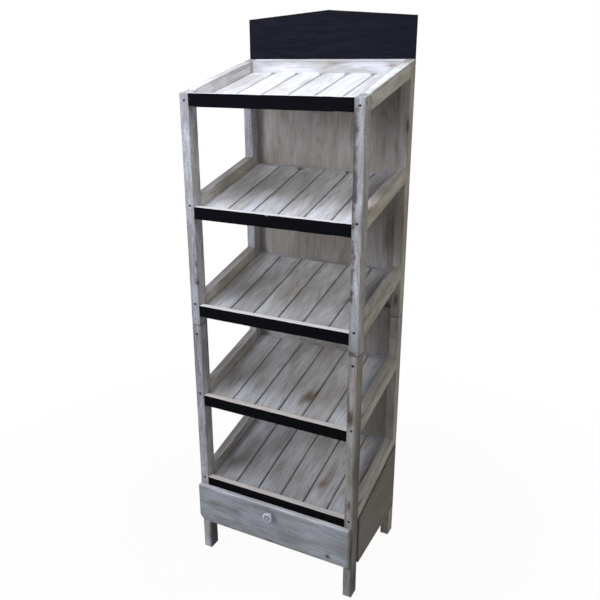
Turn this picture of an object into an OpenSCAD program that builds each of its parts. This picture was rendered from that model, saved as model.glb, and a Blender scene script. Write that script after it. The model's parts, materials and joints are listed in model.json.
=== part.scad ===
// Shelved display unit: a stand of two stacked sections with five shelves that
// rise to the rear, a header board and one drawer. All sizes are in millimetres.
// Shelves are numbered from the top. Inside this file y = 0 is the front face of
// the front posts and +Y runs to the rear; placed() centres the finished stand.

/* [Frame] */
// Width over the posts
stand_w = 530; // [440:5:640]
// Depth from the front face of the front posts to the rear face of the rear posts
stand_d = 364; // [320:2:440]
// Width of a post, which is also the thickness of a side rail
post_w = 28; // [24:1:36]
// Depth of a post from front to rear
post_d = 38; // [34:1:50]
// Angle at which the tops of the front posts are cut
post_top_cut = 9; // [0:1:12]

/* [Shelves] */
// Height of the top edge of the lowest fascia
base_shelf_z = 276; // [264:1:320]
// Height from one of the four lower shelves to the next
shelf_pitch = 292; // [270:1:330]
// Height from the second shelf to the top tray
top_bay = 303; // [270:1:340]
// Slope of the four lower shelves
shelf_tilt = 14.5; // [8:0.5:16]
// Slope of the top tray
top_tilt = 13; // [8:0.5:15]
// Height of a side rail, square to its slope
rail_h = 40; // [34:1:46]
// Height of a side rail's top line above the fascia, at the stand's front face
rail_rise = 13; // [8:1:16]

/* [Fascias] */
// Height of a fascia board
fascia_h = 35; // [28:1:42]
// Thickness of a fascia board
fascia_t = 20; // [17:1:26]

/* [Decks] */
// Number of slats in a deck
slat_count = 6; // [4:1:8]
// Thickness of a slat
slat_t = 9; // [7:0.5:12]
// Gap between two slats
slat_gap = 3; // [1:0.5:6]
// Clearance between the outer slats and the side rails
slat_side_clear = 0.5; // [0.2:0.1:2]
// Sideways offset of the slat gaps in each deck, from the top shelf down
slat_shift = [0, 3, 4, 3, 8];
// Width of a deck batten
batten_w = 20; // [14:1:30]
// Thickness of a deck batten
batten_t = 11; // [8:1:14]
// Distance of the deck battens from the stand's front face, along the slope
batten_setback = 84; // [70:1:140]

/* [Rear rails] */
// Thickness of a rear rail, which carries the rear ends of the slats
rear_rail_t = 20; // [18:1:26]
// Height of a rear rail at the back panel
rear_rail_h = 30; // [24:1:40]
// Depth of the rebate or groove that the slats lie in
slat_seat = 8; // [5:0.5:9]
// Thickness of the rail behind the top tray
top_rail_t = 28; // [24:1:34]
// Height of the front face of the rail behind the top tray
top_rail_h = 60; // [52:1:80]

/* [Back and header] */
// Thickness of the back panels
panel_t = 5; // [4:0.5:8]
// Width by which the back panels stay inside the posts, each side
panel_inset = 5; // [2:1:7]
// Height of the lower edge of the back and side panels
panel_bottom_z = 105; // [70:1:112]
// Thickness of the header board
header_t = 10; // [8:1:16]
// Width by which the header stays inside the posts, each side
header_inset = 4; // [0:1:8]
// Height of the header at its sides
header_side_h = 155; // [110:1:220]
// Rise of the gable at the middle of the header
header_gable = 20; // [0:1:50]
// Height by which the header's lower edge lies below the tops of the rear posts
header_lap = 44; // [38:1:48]

/* [Joint of the sections] */
// Distance of the joint below the third fascia
joint_drop = 28; // [20:1:60]
// Size of the square rail at the foot of the upper section's back
joint_rail_s = 20; // [16:1:26]
// Diameter of a joint dowel
joint_dowel_d = 10; // [8:0.5:11]
// Length of a joint dowel
joint_dowel_l = 80; // [76:2:90]
// Distance of the locking screws below the joint
lock_screw_drop = 30; // [20:1:34]

/* [Base] */
// Thickness of a base side panel
side_panel_t = 5; // [4:0.5:6]
// Height by which a base side panel laps the lowest side rail
side_panel_lap = 4.5; // [4:0.5:6]
// Distance of a base side panel's rear edge from the stand's rear face
side_panel_setback = 16; // [4:1:20]
// Height of a base side rail
base_rail_h = 38; // [30:1:45]

/* [Drawer] */
// Thickness of the drawer front
drawer_front_t = 16; // [14:1:22]
// Height of the drawer front's lower edge
drawer_front_z = 118; // [106:1:126]
// Height by which the drawer front laps the lowest fascia
drawer_front_lap = 8; // [6:1:20]
// Width of the right front post's face that shows beside the drawer front
drawer_front_reveal = 8; // [0:1:12]
// Width of the corner broken off the drawer front
chip_w = 15; // [4:1:24]
// Height of the corner broken off the drawer front
chip_h = 17; // [4:1:30]
// Thickness of the drawer's sides and back
drawer_wall = 12; // [10:1:15]
// Thickness of the drawer's bottom
drawer_floor = 4; // [3:0.5:6]
// Height of the bottom above the sides' lower edges
drawer_floor_rise = 6; // [4:1:12]
// Depth of the grooves that hold the bottom
groove = 4; // [2:0.5:6]
// Height of the drawer's sides
drawer_side_h = 78; // [66:1:80]
// Height by which the drawer's back stands above its sides
drawer_back_rise = 8; // [5:1:10]
// Gap behind the drawer's back
drawer_rear_gap = 41; // [30:1:60]
// How far the drawer slides out
drawer_travel = 220; // [140:5:230]

/* [Drawer guides] */
// Width of a runner
runner_w = 20; // [14:1:24]
// Height of a runner
runner_h = 15; // [10:1:20]
// Height of a kicker, the guide above the drawer's side
kicker_h = 15; // [12:1:16]
// Width of a stop block
stop_w = 19; // [12:1:26]
// Length of a stop block
stop_l = 15; // [10:1:25]
// Setback of the runners and kickers from the faces of the posts
guide_setback = 4; // [0:1:10]

/* [Knob] */
// Diameter of the knob
knob_d = 32; // [26:1:40]
// How far the knob stands out from the drawer front
knob_l = 18; // [16:1:32]
// Diameter of the knob's neck
knob_neck_d = 17; // [12:1:20]
// Radius of the knob's rounded rim
knob_rim = 5; // [3:0.5:6]
// Length of the flare between the neck and the rim
knob_flare_l = 8; // [4:1:10]
// Depth of the dish in the knob's face
knob_dish = 3.5; // [1.5:0.5:4]
// Diameter of the raised middle of the dish
knob_boss_d = 10; // [6:1:12]
// Height of the knob above the middle of the drawer front
knob_rise = 34; // [0:1:42]

/* [Fasteners] */
// Shank diameter of the screws
screw_d = 4; // [3:0.5:5]
// Head diameter of the screws
screw_head_d = 8; // [6:0.5:9]
// Length of the screws that hold the rails
long_screw_l = 60; // [56:1:70]
// Length of the screws in the header and the joint
short_screw_l = 30; // [26:1:32]
// How far the screw heads lie below the surface
screw_sink = 1.5; // [0.5:0.5:3]
// Diameter of a cross dowel
cross_dowel_d = 8; // [6:0.5:9]
// Length of a cross dowel
cross_dowel_l = 30; // [20:1:34]
// Diameter of a panel pin
pin_d = 1.6; // [1.2:0.2:2.4]
// Length of a panel pin
pin_l = 18; // [12:1:20]
// Diameter of a drawer dowel
drawer_dowel_d = 6; // [4:0.5:7]
// Length of a drawer dowel
drawer_dowel_l = 22; // [16:1:24]

/* [Clearances] */
// Running clearance at each side of the drawer
drawer_side_clear = 1.5; // [1:0.5:3]
// Clearance above the drawer's sides
drawer_top_clear = 2; // [1:0.5:4]
// Clearance where a drawer piece rests on or closes against the stand
seat_clear = 0.3; // [0.2:0.1:0.5]
// Clearance between the drawer's back and the kickers and stops
stop_clear = 0.5; // [0.3:0.1:1]

/* [Hidden] */
SHELVES = [1, 2, 3, 4, 5];
SIDES = [-1, 1];
SHELF_PIECES = ["slats", "fascia", "rail_left", "rail_right", "rear_rail"];

$fn = 48;
eps = 0.01;

whitewash = "#a3a09c";
deck_grey = "#8f8c88";
inner_grey = "#7d7a76";
panel_grey = "#85817c";
drawer_grey = "#9b9c9f";
black_paint = "#111216";
chalk_black = "#1b1e27";
knob_white = "#c9cbd0";
beech = "#c8a878";
steel = "#8d9093";

half_w = stand_w / 2;
inner = half_w - post_w;
post_x = half_w - post_w / 2;
front_post_y = post_d / 2;
rear_post_y = stand_d - post_d / 2;
rear_posts_front = stand_d - post_d;

// Shelf lines. Heights belong to a distance y behind the stand's front face.
function fascia_top(n) = n == 1 ? fascia_top(2) + top_bay : base_shelf_z + (5 - n) * shelf_pitch;
function tilt(n) = n == 1 ? top_tilt : shelf_tilt;
function rail_top(n, y) = fascia_top(n) + (n == 1 ? 0 : rail_rise) + y * tan(tilt(n));
function rail_under(n, y) = rail_top(n, y) - rail_h / cos(tilt(n));
function rail_mid(n, y) = (rail_top(n, y) + rail_under(n, y)) / 2;
function deck_under(n, y) = rail_under(n, y);
function deck_top(n, y) = deck_under(n, y) + slat_t / cos(tilt(n));

// The slats end inside the rebate of a rear rail, or in the top rail's groove.
function rear_rail_front(n) = n == 1 ? stand_d - top_rail_t : stand_d - rear_rail_t;
function slat_end(n) = rear_rail_front(n) + slat_seat;
function rear_rail_bottom(n) = n == 1
    ? rail_top(1, rear_rail_front(1)) - top_rail_h
    : deck_top(n, stand_d) - rear_rail_h;
slat_pitch = 2 * inner / slat_count;
function slat_edge(n, k) = k == 0 ? -inner + slat_side_clear - slat_gap / 2
    : k == slat_count ? inner - slat_side_clear + slat_gap / 2
    : k * slat_pitch - inner + slat_shift[n - 1];

post_top_front = fascia_top(1);
rear_post_top = rail_top(1, stand_d);
joint_z = fascia_top(3) - fascia_h - joint_drop;
header_z = rear_post_top - header_lap;
lock_screw_z = joint_z - lock_screw_drop;

function side_panel_top(y) = rail_under(5, y) + side_panel_lap;
side_panel_end = stand_d - side_panel_setback;

// Drawer, from the runners up
runner_top = panel_bottom_z + base_rail_h;
drawer_z = runner_top + seat_clear;
drawer_side_top = drawer_z + drawer_side_h;
drawer_back_top = drawer_side_top + drawer_back_rise;
drawer_half = inner - drawer_side_clear;
drawer_inner = drawer_half - drawer_wall;
drawer_floor_z = drawer_z + drawer_floor_rise;
drawer_end = stand_d - drawer_rear_gap;
drawer_back_y = drawer_end - drawer_wall;
drawer_front_top = fascia_top(5) - fascia_h + drawer_front_lap;
drawer_front_y = -seat_clear - drawer_front_t;
drawer_front_right = half_w - drawer_front_reveal;
kicker_z = drawer_side_top + drawer_top_clear;
kicker_in = drawer_inner + stop_clear;
stop_y = drawer_back_y - drawer_travel - stop_clear - stop_l;
knob_x = (drawer_front_right - half_w) / 2;
knob_z = (drawer_front_z + drawer_front_top) / 2 + knob_rise;
knob_screw_y = -seat_clear;

// Fastener places
top_screw_drop = 6;
low_screw_drop = 8;
side_screw_drop = 10.5;
side_screw_y = 9;
header_screw_rise = 28;
header_screw_z = header_z + header_screw_rise;
header_screw_x = 90;
header_screw_xs = [-post_x, -header_screw_x, header_screw_x, post_x];
cross_dowel_back = 8;
rear_rail_dowel_drop = 4;
top_rail_dowel_drop = 36;
pin_edge = 3;
pin_end = 18;
pins_up = 5;
header_pin_drop = 8;
rail_pin_xs = [-120, 0, 120];
base_pin_rise = 8;
side_pin_ys = [80, 190, 300];
post_pin_zs = [170, 290];
drawer_dowel_over_floor = 18;
drawer_dowel_under_top = 16;
drawer_dowel_in_front = 9;
drawer_dowel_sink = 2;
drawer_dowel_zs = [drawer_floor_z + drawer_dowel_over_floor, drawer_side_top - drawer_dowel_under_top];

// The raised middle of the knob's dish
knob_boss_drop = 0.5;
knob_boss_taper = 3;

// The origin is at the middle of the overall width and depth, on the floor.
front_y = drawer_front_y - knob_l;
rear_y = stand_d + header_t;
module placed() {
    translate([0, -(front_y + rear_y) / 2, 0]) children();
}

// Mirrors a right-hand piece to the left side when s is -1.
module on_side(s) {
    if (s > 0) children();
    else mirror([1, 0, 0]) children();
}

// A piece whose outline is drawn in the Y-Z plane, from x0 to x1.
module side_prism(x0, x1, outline) {
    translate([x0, 0, 0])
        rotate([90, 0, 90])
            linear_extrude(x1 - x0) polygon(outline);
}

// A box from one corner to the opposite one.
module block(a, b) {
    translate(a) cube(b - a);
}

// A countersunk screw along +Z, with the top of its head at z = 0.
module screw(length) {
    cylinder(h = screw_head_d / 2 - screw_d / 2, d1 = screw_head_d, d2 = screw_d);
    cylinder(h = length, d = screw_d);
}

// The hole of such a screw, open above its head.
module screw_hole(length) {
    screw(length);
    translate([0, 0, -screw_sink - 1]) cylinder(h = screw_sink + 1, d = screw_head_d);
}

module from_front(x, z) {
    translate([x, screw_sink, z]) rotate([-90, 0, 0]) children();
}

module from_rear(x, y, z) {
    translate([x, y - screw_sink, z]) rotate([90, 0, 0]) children();
}

module from_right(y, z) {
    translate([half_w - screw_sink, y, z]) rotate([0, -90, 0]) children();
}

// Long screws of the right side: rails, base rail and the top fascia.
function front_screw_z(n) = rail_mid(n, post_d)
    - (n == 1 ? top_screw_drop : n == 5 ? low_screw_drop : 0);
function rear_screw_z(n) = rail_mid(n, rear_posts_front);
base_screw_z = panel_bottom_z + base_rail_h / 2;
side_screw_z = fascia_top(1) - side_screw_drop;

module at_long_screws(shelves, with_base) {
    for (n = shelves) {
        from_front(post_x, front_screw_z(n)) children();
        from_rear(post_x, stand_d, rear_screw_z(n)) children();
    }
    if (with_base) {
        from_front(post_x, base_screw_z) children();
        from_rear(post_x, stand_d, base_screw_z) children();
    }
}

module at_cross_dowel(n) {
    if (n > 1) {
        translate([inner, fascia_t / 2, fascia_top(n) - fascia_h / 2]) cross_dowel_axis() children();
        translate([inner, stand_d - cross_dowel_back, rear_rail_pin_z(n) - rear_rail_dowel_drop])
            cross_dowel_axis() children();
    } else {
        translate([inner, stand_d - cross_dowel_back, rail_top(1, stand_d) - top_rail_dowel_drop])
            cross_dowel_axis() children();
    }
}

module at_joint_rail_dowel() {
    translate([inner, stand_d - cross_dowel_back, joint_z + joint_rail_s / 2])
        cross_dowel_axis() children();
}

module cross_dowel_axis() {
    rotate([0, 90, 0]) children();
}

module cross_dowel() {
    cylinder(h = cross_dowel_l, d = cross_dowel_d, center = true);
}

module joint_dowel_pair() {
    for (y = [front_post_y, rear_post_y])
        translate([post_x, y, joint_z])
            cylinder(h = joint_dowel_l, d = joint_dowel_d, center = true);
}

// Pins lie along -Y at the back panels and along -X at the base side panels.
upper_pin_zs = [for (i = [0:pins_up - 1])
    joint_z + pin_end + i * (header_z - joint_z - 2 * pin_end) / (pins_up - 1)];
lower_pin_zs = [for (i = [0:pins_up - 1])
    panel_bottom_z + pin_end + i * (joint_z - panel_bottom_z - 2 * pin_end) / (pins_up - 1)];
function rear_rail_pin_z(n) = rear_rail_bottom(n) + rear_rail_h / 2;
function rail_pin_z(n) = n == 1 ? header_z - header_pin_drop : rear_rail_pin_z(n);

module back_pin(x, z) {
    translate([x, stand_d + panel_t, z]) rotate([90, 0, 0]) cylinder(h = pin_l, d = pin_d);
}

module back_pins() {
    for (s = SIDES, z = concat(upper_pin_zs, lower_pin_zs))
        back_pin(s * (half_w - panel_inset - pin_edge), z);
    for (x = rail_pin_xs, n = SHELVES)
        back_pin(x, rail_pin_z(n));
    for (x = rail_pin_xs)
        back_pin(x, joint_z + joint_rail_s / 2);
}

module side_pin(y, z) {
    translate([half_w + side_panel_t, y, z]) rotate([0, -90, 0]) cylinder(h = pin_l, d = pin_d);
}

module side_pins() {
    for (y = side_pin_ys) {
        side_pin(y, panel_bottom_z + base_pin_rise);
        side_pin(y, (side_panel_top(y) + rail_under(5, y)) / 2);
    }
    for (z = post_pin_zs)
        side_pin((rear_posts_front + side_panel_end) / 2, z);
}

// Everything that is bored into the posts of the right side.
module right_post_bores() {
    at_long_screws(SHELVES, true) screw_hole(long_screw_l);
    from_right(side_screw_y, side_screw_z) screw_hole(long_screw_l);
    from_front(post_x, lock_screw_z) screw_hole(short_screw_l);
    from_rear(post_x, rear_y, header_screw_z) screw_hole(short_screw_l);
    joint_dowel_pair();
    for (n = SHELVES) at_cross_dowel(n) cross_dowel();
    at_joint_rail_dowel() cross_dowel();
    back_pins();
    side_pins();
}

module post_right(y0, z0, top_front, top_rear) {
    difference() {
        side_prism(inner, half_w,
            [[y0, z0], [y0 + post_d, z0], [y0 + post_d, top_rear], [y0, top_front]]);
        right_post_bores();
    }
}

module upper_front_post(s) {
    color(whitewash) on_side(s)
        post_right(0, joint_z, post_top_front, post_top_front + post_d * tan(post_top_cut));
}

module upper_rear_post(s) {
    color(whitewash) on_side(s)
        post_right(rear_posts_front, joint_z, rail_top(1, rear_posts_front), rear_post_top);
}

module lower_front_post(s) {
    color(whitewash) on_side(s) post_right(0, 0, joint_z, joint_z);
}

module lower_rear_post(s) {
    color(whitewash) on_side(s) post_right(rear_posts_front, 0, joint_z, joint_z);
}

module side_rail(n, s) {
    color(inner_grey) on_side(s) difference() {
        side_prism(inner, half_w,
            [[post_d, rail_under(n, post_d)], [rear_posts_front, rail_under(n, rear_posts_front)],
             [rear_posts_front, rail_top(n, rear_posts_front)], [post_d, rail_top(n, post_d)]]);
        at_long_screws([n], false) screw_hole(long_screw_l);
        if (n == 5) side_pins();
    }
}

module fascia(n) {
    color(black_paint) difference() {
        block([-inner, 0, fascia_top(n) - fascia_h], [inner, fascia_t, fascia_top(n)]);
        for (s = SIDES) on_side(s)
            if (n == 1) from_right(side_screw_y, side_screw_z) screw_hole(long_screw_l);
            else at_cross_dowel(n) cross_dowel();
    }
}

module slats(n) {
    color(deck_grey) for (k = [0:slat_count - 1])
        side_prism(slat_edge(n, k) + slat_gap / 2, slat_edge(n, k + 1) - slat_gap / 2,
            [[fascia_t, deck_under(n, fascia_t)], [slat_end(n), deck_under(n, slat_end(n))],
             [slat_end(n), deck_top(n, slat_end(n))], [fascia_t, deck_top(n, fascia_t)]]);
}

// Rear rail with a rebate, or with a groove where it stands behind the top tray.
module rear_rail(n) {
    y0 = rear_rail_front(n);
    y1 = slat_end(n);
    low = rear_rail_bottom(n);
    seat = [[stand_d, low], [y0, low], [y0, deck_under(n, y0)], [y1, deck_under(n, y1)],
            [y1, deck_top(n, y1)]];
    above = n == 1 ? [[y0, deck_top(1, y0)], [y0, rail_top(1, y0)], [stand_d, rail_top(1, stand_d)]]
                   : [[stand_d, deck_top(n, stand_d)]];
    color(inner_grey) difference() {
        side_prism(-inner, inner, concat(seat, above));
        for (s = SIDES) on_side(s) at_cross_dowel(n) cross_dowel();
        if (n == 1) header_screw_bores();
        back_pins();
    }
}

module deck_battens() {
    color(inner_grey) for (n = SHELVES)
        translate([0, 0, deck_under(n, 0)]) rotate([tilt(n), 0, 0])
            block([slat_side_clear - inner, batten_setback, -batten_t],
                  [inner - slat_side_clear, batten_setback + batten_w, 0]);
}

module joint_rail() {
    color(inner_grey) difference() {
        block([-inner, stand_d - joint_rail_s, joint_z], [inner, stand_d, joint_z + joint_rail_s]);
        for (s = SIDES) on_side(s) at_joint_rail_dowel() cross_dowel();
        back_pins();
    }
}

module back_panel(z0, z1) {
    color(panel_grey) difference() {
        block([panel_inset - half_w, stand_d, z0], [half_w - panel_inset, stand_d + panel_t, z1]);
        back_pins();
    }
}

module upper_back_panel() {
    back_panel(joint_z, header_z);
}

module lower_back_panel() {
    back_panel(panel_bottom_z, joint_z);
}

module header_screw_bores() {
    for (x = header_screw_xs) from_rear(x, rear_y, header_screw_z) screw_hole(short_screw_l);
}

module header() {
    w = half_w - header_inset;
    side_z = header_z + header_side_h;
    color(chalk_black) difference() {
        translate([0, rear_y, 0]) rotate([90, 0, 0]) linear_extrude(header_t)
            polygon([[-w, header_z], [w, header_z], [w, side_z], [0, side_z + header_gable], [-w, side_z]]);
        header_screw_bores();
    }
}

module base_rail(s) {
    color(inner_grey) on_side(s) difference() {
        block([inner, post_d, panel_bottom_z], [half_w, rear_posts_front, runner_top]);
        at_long_screws([], true) screw_hole(long_screw_l);
        side_pins();
    }
}

module base_panel(s) {
    color(whitewash) on_side(s) difference() {
        side_prism(half_w, half_w + side_panel_t,
            [[post_d, panel_bottom_z], [side_panel_end, panel_bottom_z],
             [side_panel_end, side_panel_top(side_panel_end)], [post_d, side_panel_top(post_d)]]);
        side_pins();
    }
}

module runner(s) {
    color(beech) on_side(s)
        block([inner - runner_w, guide_setback, runner_top - runner_h],
              [inner, stand_d - guide_setback, runner_top]);
}

module kicker(s) {
    color(beech) on_side(s)
        block([kicker_in, guide_setback, kicker_z], [inner, stand_d - guide_setback, kicker_z + kicker_h]);
}

module drawer_stops() {
    color(beech) for (s = SIDES) on_side(s)
        block([kicker_in - stop_w, stop_y, kicker_z], [kicker_in, stop_y + stop_l, kicker_z + kicker_h]);
}

// The groove that the drawer's bottom lies in, cut all round.
module floor_slot() {
    block([-drawer_inner - groove, -seat_clear - groove, drawer_floor_z],
          [drawer_inner + groove, drawer_end + eps, drawer_floor_z + drawer_floor]);
}

module drawer_dowels_form() {
    for (s = SIDES, z = drawer_dowel_zs) on_side(s) {
        translate([drawer_half - drawer_wall / 2, -seat_clear - drawer_dowel_in_front, z])
            rotate([-90, 0, 0]) cylinder(h = drawer_dowel_l, d = drawer_dowel_d);
        translate([drawer_half - drawer_dowel_sink, drawer_end - drawer_wall / 2, z])
            rotate([0, -90, 0]) cylinder(h = drawer_dowel_l, d = drawer_dowel_d);
    }
}

module drawer_front() {
    color(drawer_grey) difference() {
        translate([0, -seat_clear, 0]) rotate([90, 0, 0]) linear_extrude(drawer_front_t)
            polygon([[drawer_front_right, drawer_front_z], [drawer_front_right, drawer_front_top],
                     [-half_w, drawer_front_top], [-half_w, drawer_front_z + chip_h],
                     [-half_w + chip_w, drawer_front_z]]);
        floor_slot();
        drawer_dowels_form();
        knob_screw_form();
    }
}

module drawer_side(s) {
    color(beech) difference() {
        on_side(s) block([drawer_inner, -seat_clear, drawer_z], [drawer_half, drawer_end, drawer_side_top]);
        floor_slot();
        drawer_dowels_form();
    }
}

module drawer_back() {
    color(beech) difference() {
        block([-drawer_inner, drawer_back_y, drawer_floor_z + drawer_floor],
              [drawer_inner, drawer_end, drawer_back_top]);
        drawer_dowels_form();
    }
}

module drawer_bottom() {
    color(beech) block([-drawer_inner - groove, -seat_clear - groove, drawer_floor_z],
                       [drawer_inner + groove, drawer_end, drawer_floor_z + drawer_floor]);
}

// A turned knob: neck, rounded head, dished face with a raised middle.
module drawer_knob() {
    rim_x = knob_d / 2 - knob_rim;
    color(knob_white) difference() {
        translate([knob_x, drawer_front_y, knob_z]) rotate([90, 0, 0]) {
            cylinder(h = knob_l - knob_rim, d = knob_neck_d);
            difference() {
                union() {
                    translate([0, 0, knob_l - 2 * knob_rim]) cylinder(h = 2 * knob_rim, r = rim_x);
                    translate([0, 0, knob_l - knob_rim])
                        rotate_extrude() translate([rim_x, 0]) circle(r = knob_rim);
                    translate([0, 0, knob_l - knob_rim - knob_flare_l])
                        cylinder(h = knob_flare_l, d1 = knob_neck_d, r2 = rim_x + knob_rim);
                }
                translate([0, 0, knob_l - knob_dish])
                    cylinder(h = knob_dish + eps, r1 = rim_x - knob_dish, r2 = rim_x);
            }
            translate([0, 0, knob_l - knob_dish - eps])
                cylinder(h = knob_dish - knob_boss_drop, d1 = knob_boss_d, d2 = knob_boss_d - knob_boss_taper);
        }
        knob_screw_form();
    }
}

// The knob's screw comes through the drawer front from inside.
module knob_screw_form() {
    translate([knob_x, knob_screw_y, knob_z]) rotate([90, 0, 0]) screw(short_screw_l);
}

module knob_screw() {
    color(steel) knob_screw_form();
}

module long_screws() {
    color(steel) for (s = SIDES) on_side(s) {
        at_long_screws(SHELVES, true) screw(long_screw_l);
        from_right(side_screw_y, side_screw_z) screw(long_screw_l);
    }
}

module short_screws() {
    color(steel) {
        for (x = header_screw_xs) from_rear(x, rear_y, header_screw_z) screw(short_screw_l);
        for (s = SIDES) from_front(s * post_x, lock_screw_z) screw(short_screw_l);
    }
}

module joint_dowels() {
    color(beech) difference() {
        for (s = SIDES) on_side(s) joint_dowel_pair();
        for (s = SIDES) from_front(s * post_x, lock_screw_z) screw(short_screw_l);
    }
}

module cross_dowels() {
    color(beech) for (s = SIDES) on_side(s) {
        for (n = SHELVES) at_cross_dowel(n) cross_dowel();
        at_joint_rail_dowel() cross_dowel();
    }
}

module panel_pins() {
    color(steel) {
        back_pins();
        for (s = SIDES) on_side(s) side_pins();
    }
}

module drawer_dowels() {
    color(beech) drawer_dowels_form();
}

placed() upper_front_post(-1);  // upper_front_post_left
placed() upper_front_post(1);  // upper_front_post_right
placed() upper_rear_post(-1);  // upper_rear_post_left
placed() upper_rear_post(1);  // upper_rear_post_right
placed() lower_front_post(-1);  // lower_front_post_left
placed() lower_front_post(1);  // lower_front_post_right
placed() lower_rear_post(-1);  // lower_rear_post_left
placed() lower_rear_post(1);  // lower_rear_post_right
for (n = SHELVES) {
    placed() slats(n);
    placed() fascia(n);
    placed() side_rail(n, -1);
    placed() side_rail(n, 1);
    placed() rear_rail(n);
}
placed() deck_battens();
placed() joint_rail();
placed() upper_back_panel();
placed() lower_back_panel();
placed() header();
placed() base_rail(-1);  // base_rail_left
placed() base_rail(1);  // base_rail_right
placed() base_panel(-1);  // base_panel_left
placed() base_panel(1);  // base_panel_right
placed() runner(-1);  // runner_left
placed() runner(1);  // runner_right
placed() kicker(-1);  // kicker_left
placed() kicker(1);  // kicker_right
placed() drawer_stops();
placed() drawer_front();
placed() drawer_side(-1);  // drawer_side_left
placed() drawer_side(1);  // drawer_side_right
placed() drawer_back();
placed() drawer_bottom();
placed() drawer_knob();
placed() long_screws();
placed() short_screws();
placed() joint_dowels();
placed() cross_dowels();
placed() panel_pins();
placed() knob_screw();
placed() drawer_dowels();
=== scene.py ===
# %% [markdown]
# A shelved display unit in whitewashed pine: two stacked sections of posts, five
# sloping slatted shelves with black front boards, a thin back, a black gabled
# header and one drawer. The construction comes packed from the CAD model as a
# fixed frame. This lesson dresses every board of it: each one gets rubbed edges,
# nicks and screw dimples in its mesh, and a wood finish in its material.

# %% Load the frame
import json
import math

import bpy
import numpy as np
from mathutils import Matrix, Vector


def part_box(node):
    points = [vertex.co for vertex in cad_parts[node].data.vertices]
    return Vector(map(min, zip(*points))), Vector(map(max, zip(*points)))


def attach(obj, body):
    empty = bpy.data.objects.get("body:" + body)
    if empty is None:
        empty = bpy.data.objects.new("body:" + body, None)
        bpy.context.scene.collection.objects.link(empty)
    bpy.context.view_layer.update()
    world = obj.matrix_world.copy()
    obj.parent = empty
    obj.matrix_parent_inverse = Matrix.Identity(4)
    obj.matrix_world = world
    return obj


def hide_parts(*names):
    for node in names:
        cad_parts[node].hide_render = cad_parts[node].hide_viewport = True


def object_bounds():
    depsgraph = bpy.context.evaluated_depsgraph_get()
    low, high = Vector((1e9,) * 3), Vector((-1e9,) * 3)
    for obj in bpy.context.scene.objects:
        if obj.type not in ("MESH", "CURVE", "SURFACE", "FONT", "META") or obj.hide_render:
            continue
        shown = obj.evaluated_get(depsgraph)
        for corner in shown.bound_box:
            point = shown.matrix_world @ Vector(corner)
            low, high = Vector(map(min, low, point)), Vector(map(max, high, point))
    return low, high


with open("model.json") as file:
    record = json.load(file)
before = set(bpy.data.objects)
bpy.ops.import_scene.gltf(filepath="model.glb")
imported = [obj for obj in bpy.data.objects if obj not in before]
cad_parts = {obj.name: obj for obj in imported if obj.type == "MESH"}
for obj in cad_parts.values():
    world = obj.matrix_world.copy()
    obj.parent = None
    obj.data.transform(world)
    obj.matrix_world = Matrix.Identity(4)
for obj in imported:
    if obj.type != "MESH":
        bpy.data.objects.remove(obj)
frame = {"nodes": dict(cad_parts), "record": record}
cad_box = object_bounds()

MM = 0.001
BODY_OF = {node: body
           for body, nodes in frame["record"]["behaviour"]["bodies"].items()
           for node in nodes}

# %% [markdown]
# The camera stands where the photographer stood: to the right of the stand, a
# little above its top tray, looking down. The focal length is given in pixels of
# the 600-pixel frame, which is how a camera is solved from a picture, and turned
# to a lens on a 36 mm sensor. Angles are in degrees: the turn is to the left of
# straight ahead, and the dip is below the horizon.

# %% Camera
FRAME_PX = 600
FOCAL_PX = 678.2
SENSOR_MM = 36.0
CAMERA_PLACE = (0.8687, -1.6977, 1.5362)
CAMERA_TURN = 26.897
CAMERA_DIP = 19.484
CAMERA_ROLL = 0.07

lens = bpy.data.cameras.new("camera")
lens.sensor_width = SENSOR_MM
lens.lens = FOCAL_PX / FRAME_PX * SENSOR_MM
camera = bpy.data.objects.new("camera", lens)
camera.matrix_world = (Matrix.Translation(CAMERA_PLACE)
                       @ Matrix.Rotation(math.radians(CAMERA_TURN), 4, "Z")
                       @ Matrix.Rotation(math.radians(90 - CAMERA_DIP), 4, "X")
                       @ Matrix.Rotation(math.radians(-CAMERA_ROLL), 4, "Z"))
bpy.context.scene.collection.objects.link(camera)
bpy.context.scene.camera = camera
print("lens:", round(lens.lens, 2), "mm")

# %% [markdown]
# Every board in this stand has upright edges at its four corners, even the
# sloping rails and slats, because their ends are cut plumb. So a board is known
# from the lowest and highest point on each of its four upright corner lines, and
# these can be read off the CAD mesh. Reading them keeps every board exactly where
# the CAD has it, with no size typed twice.

# %% Read a board's corners from the frame
LINE_TOLERANCE = 0.05       # mm


def cad_points(node):
    """The points of a CAD node's mesh without repeats, in millimetres."""
    mesh = frame["nodes"][node].data
    points = np.empty(len(mesh.vertices) * 3, np.float32)
    mesh.vertices.foreach_get("co", points)
    return np.unique(np.round(points.reshape(-1, 3) / MM, 2), axis=0)


def upright_span(points, x, y):
    """Lowest and highest z among the points on the upright line at (x, y)."""
    near = (np.abs(points[:, :2] - (x, y)) < LINE_TOLERANCE).all(axis=1)
    heights = points[near, 2]
    return heights.min(), heights.max()


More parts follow.
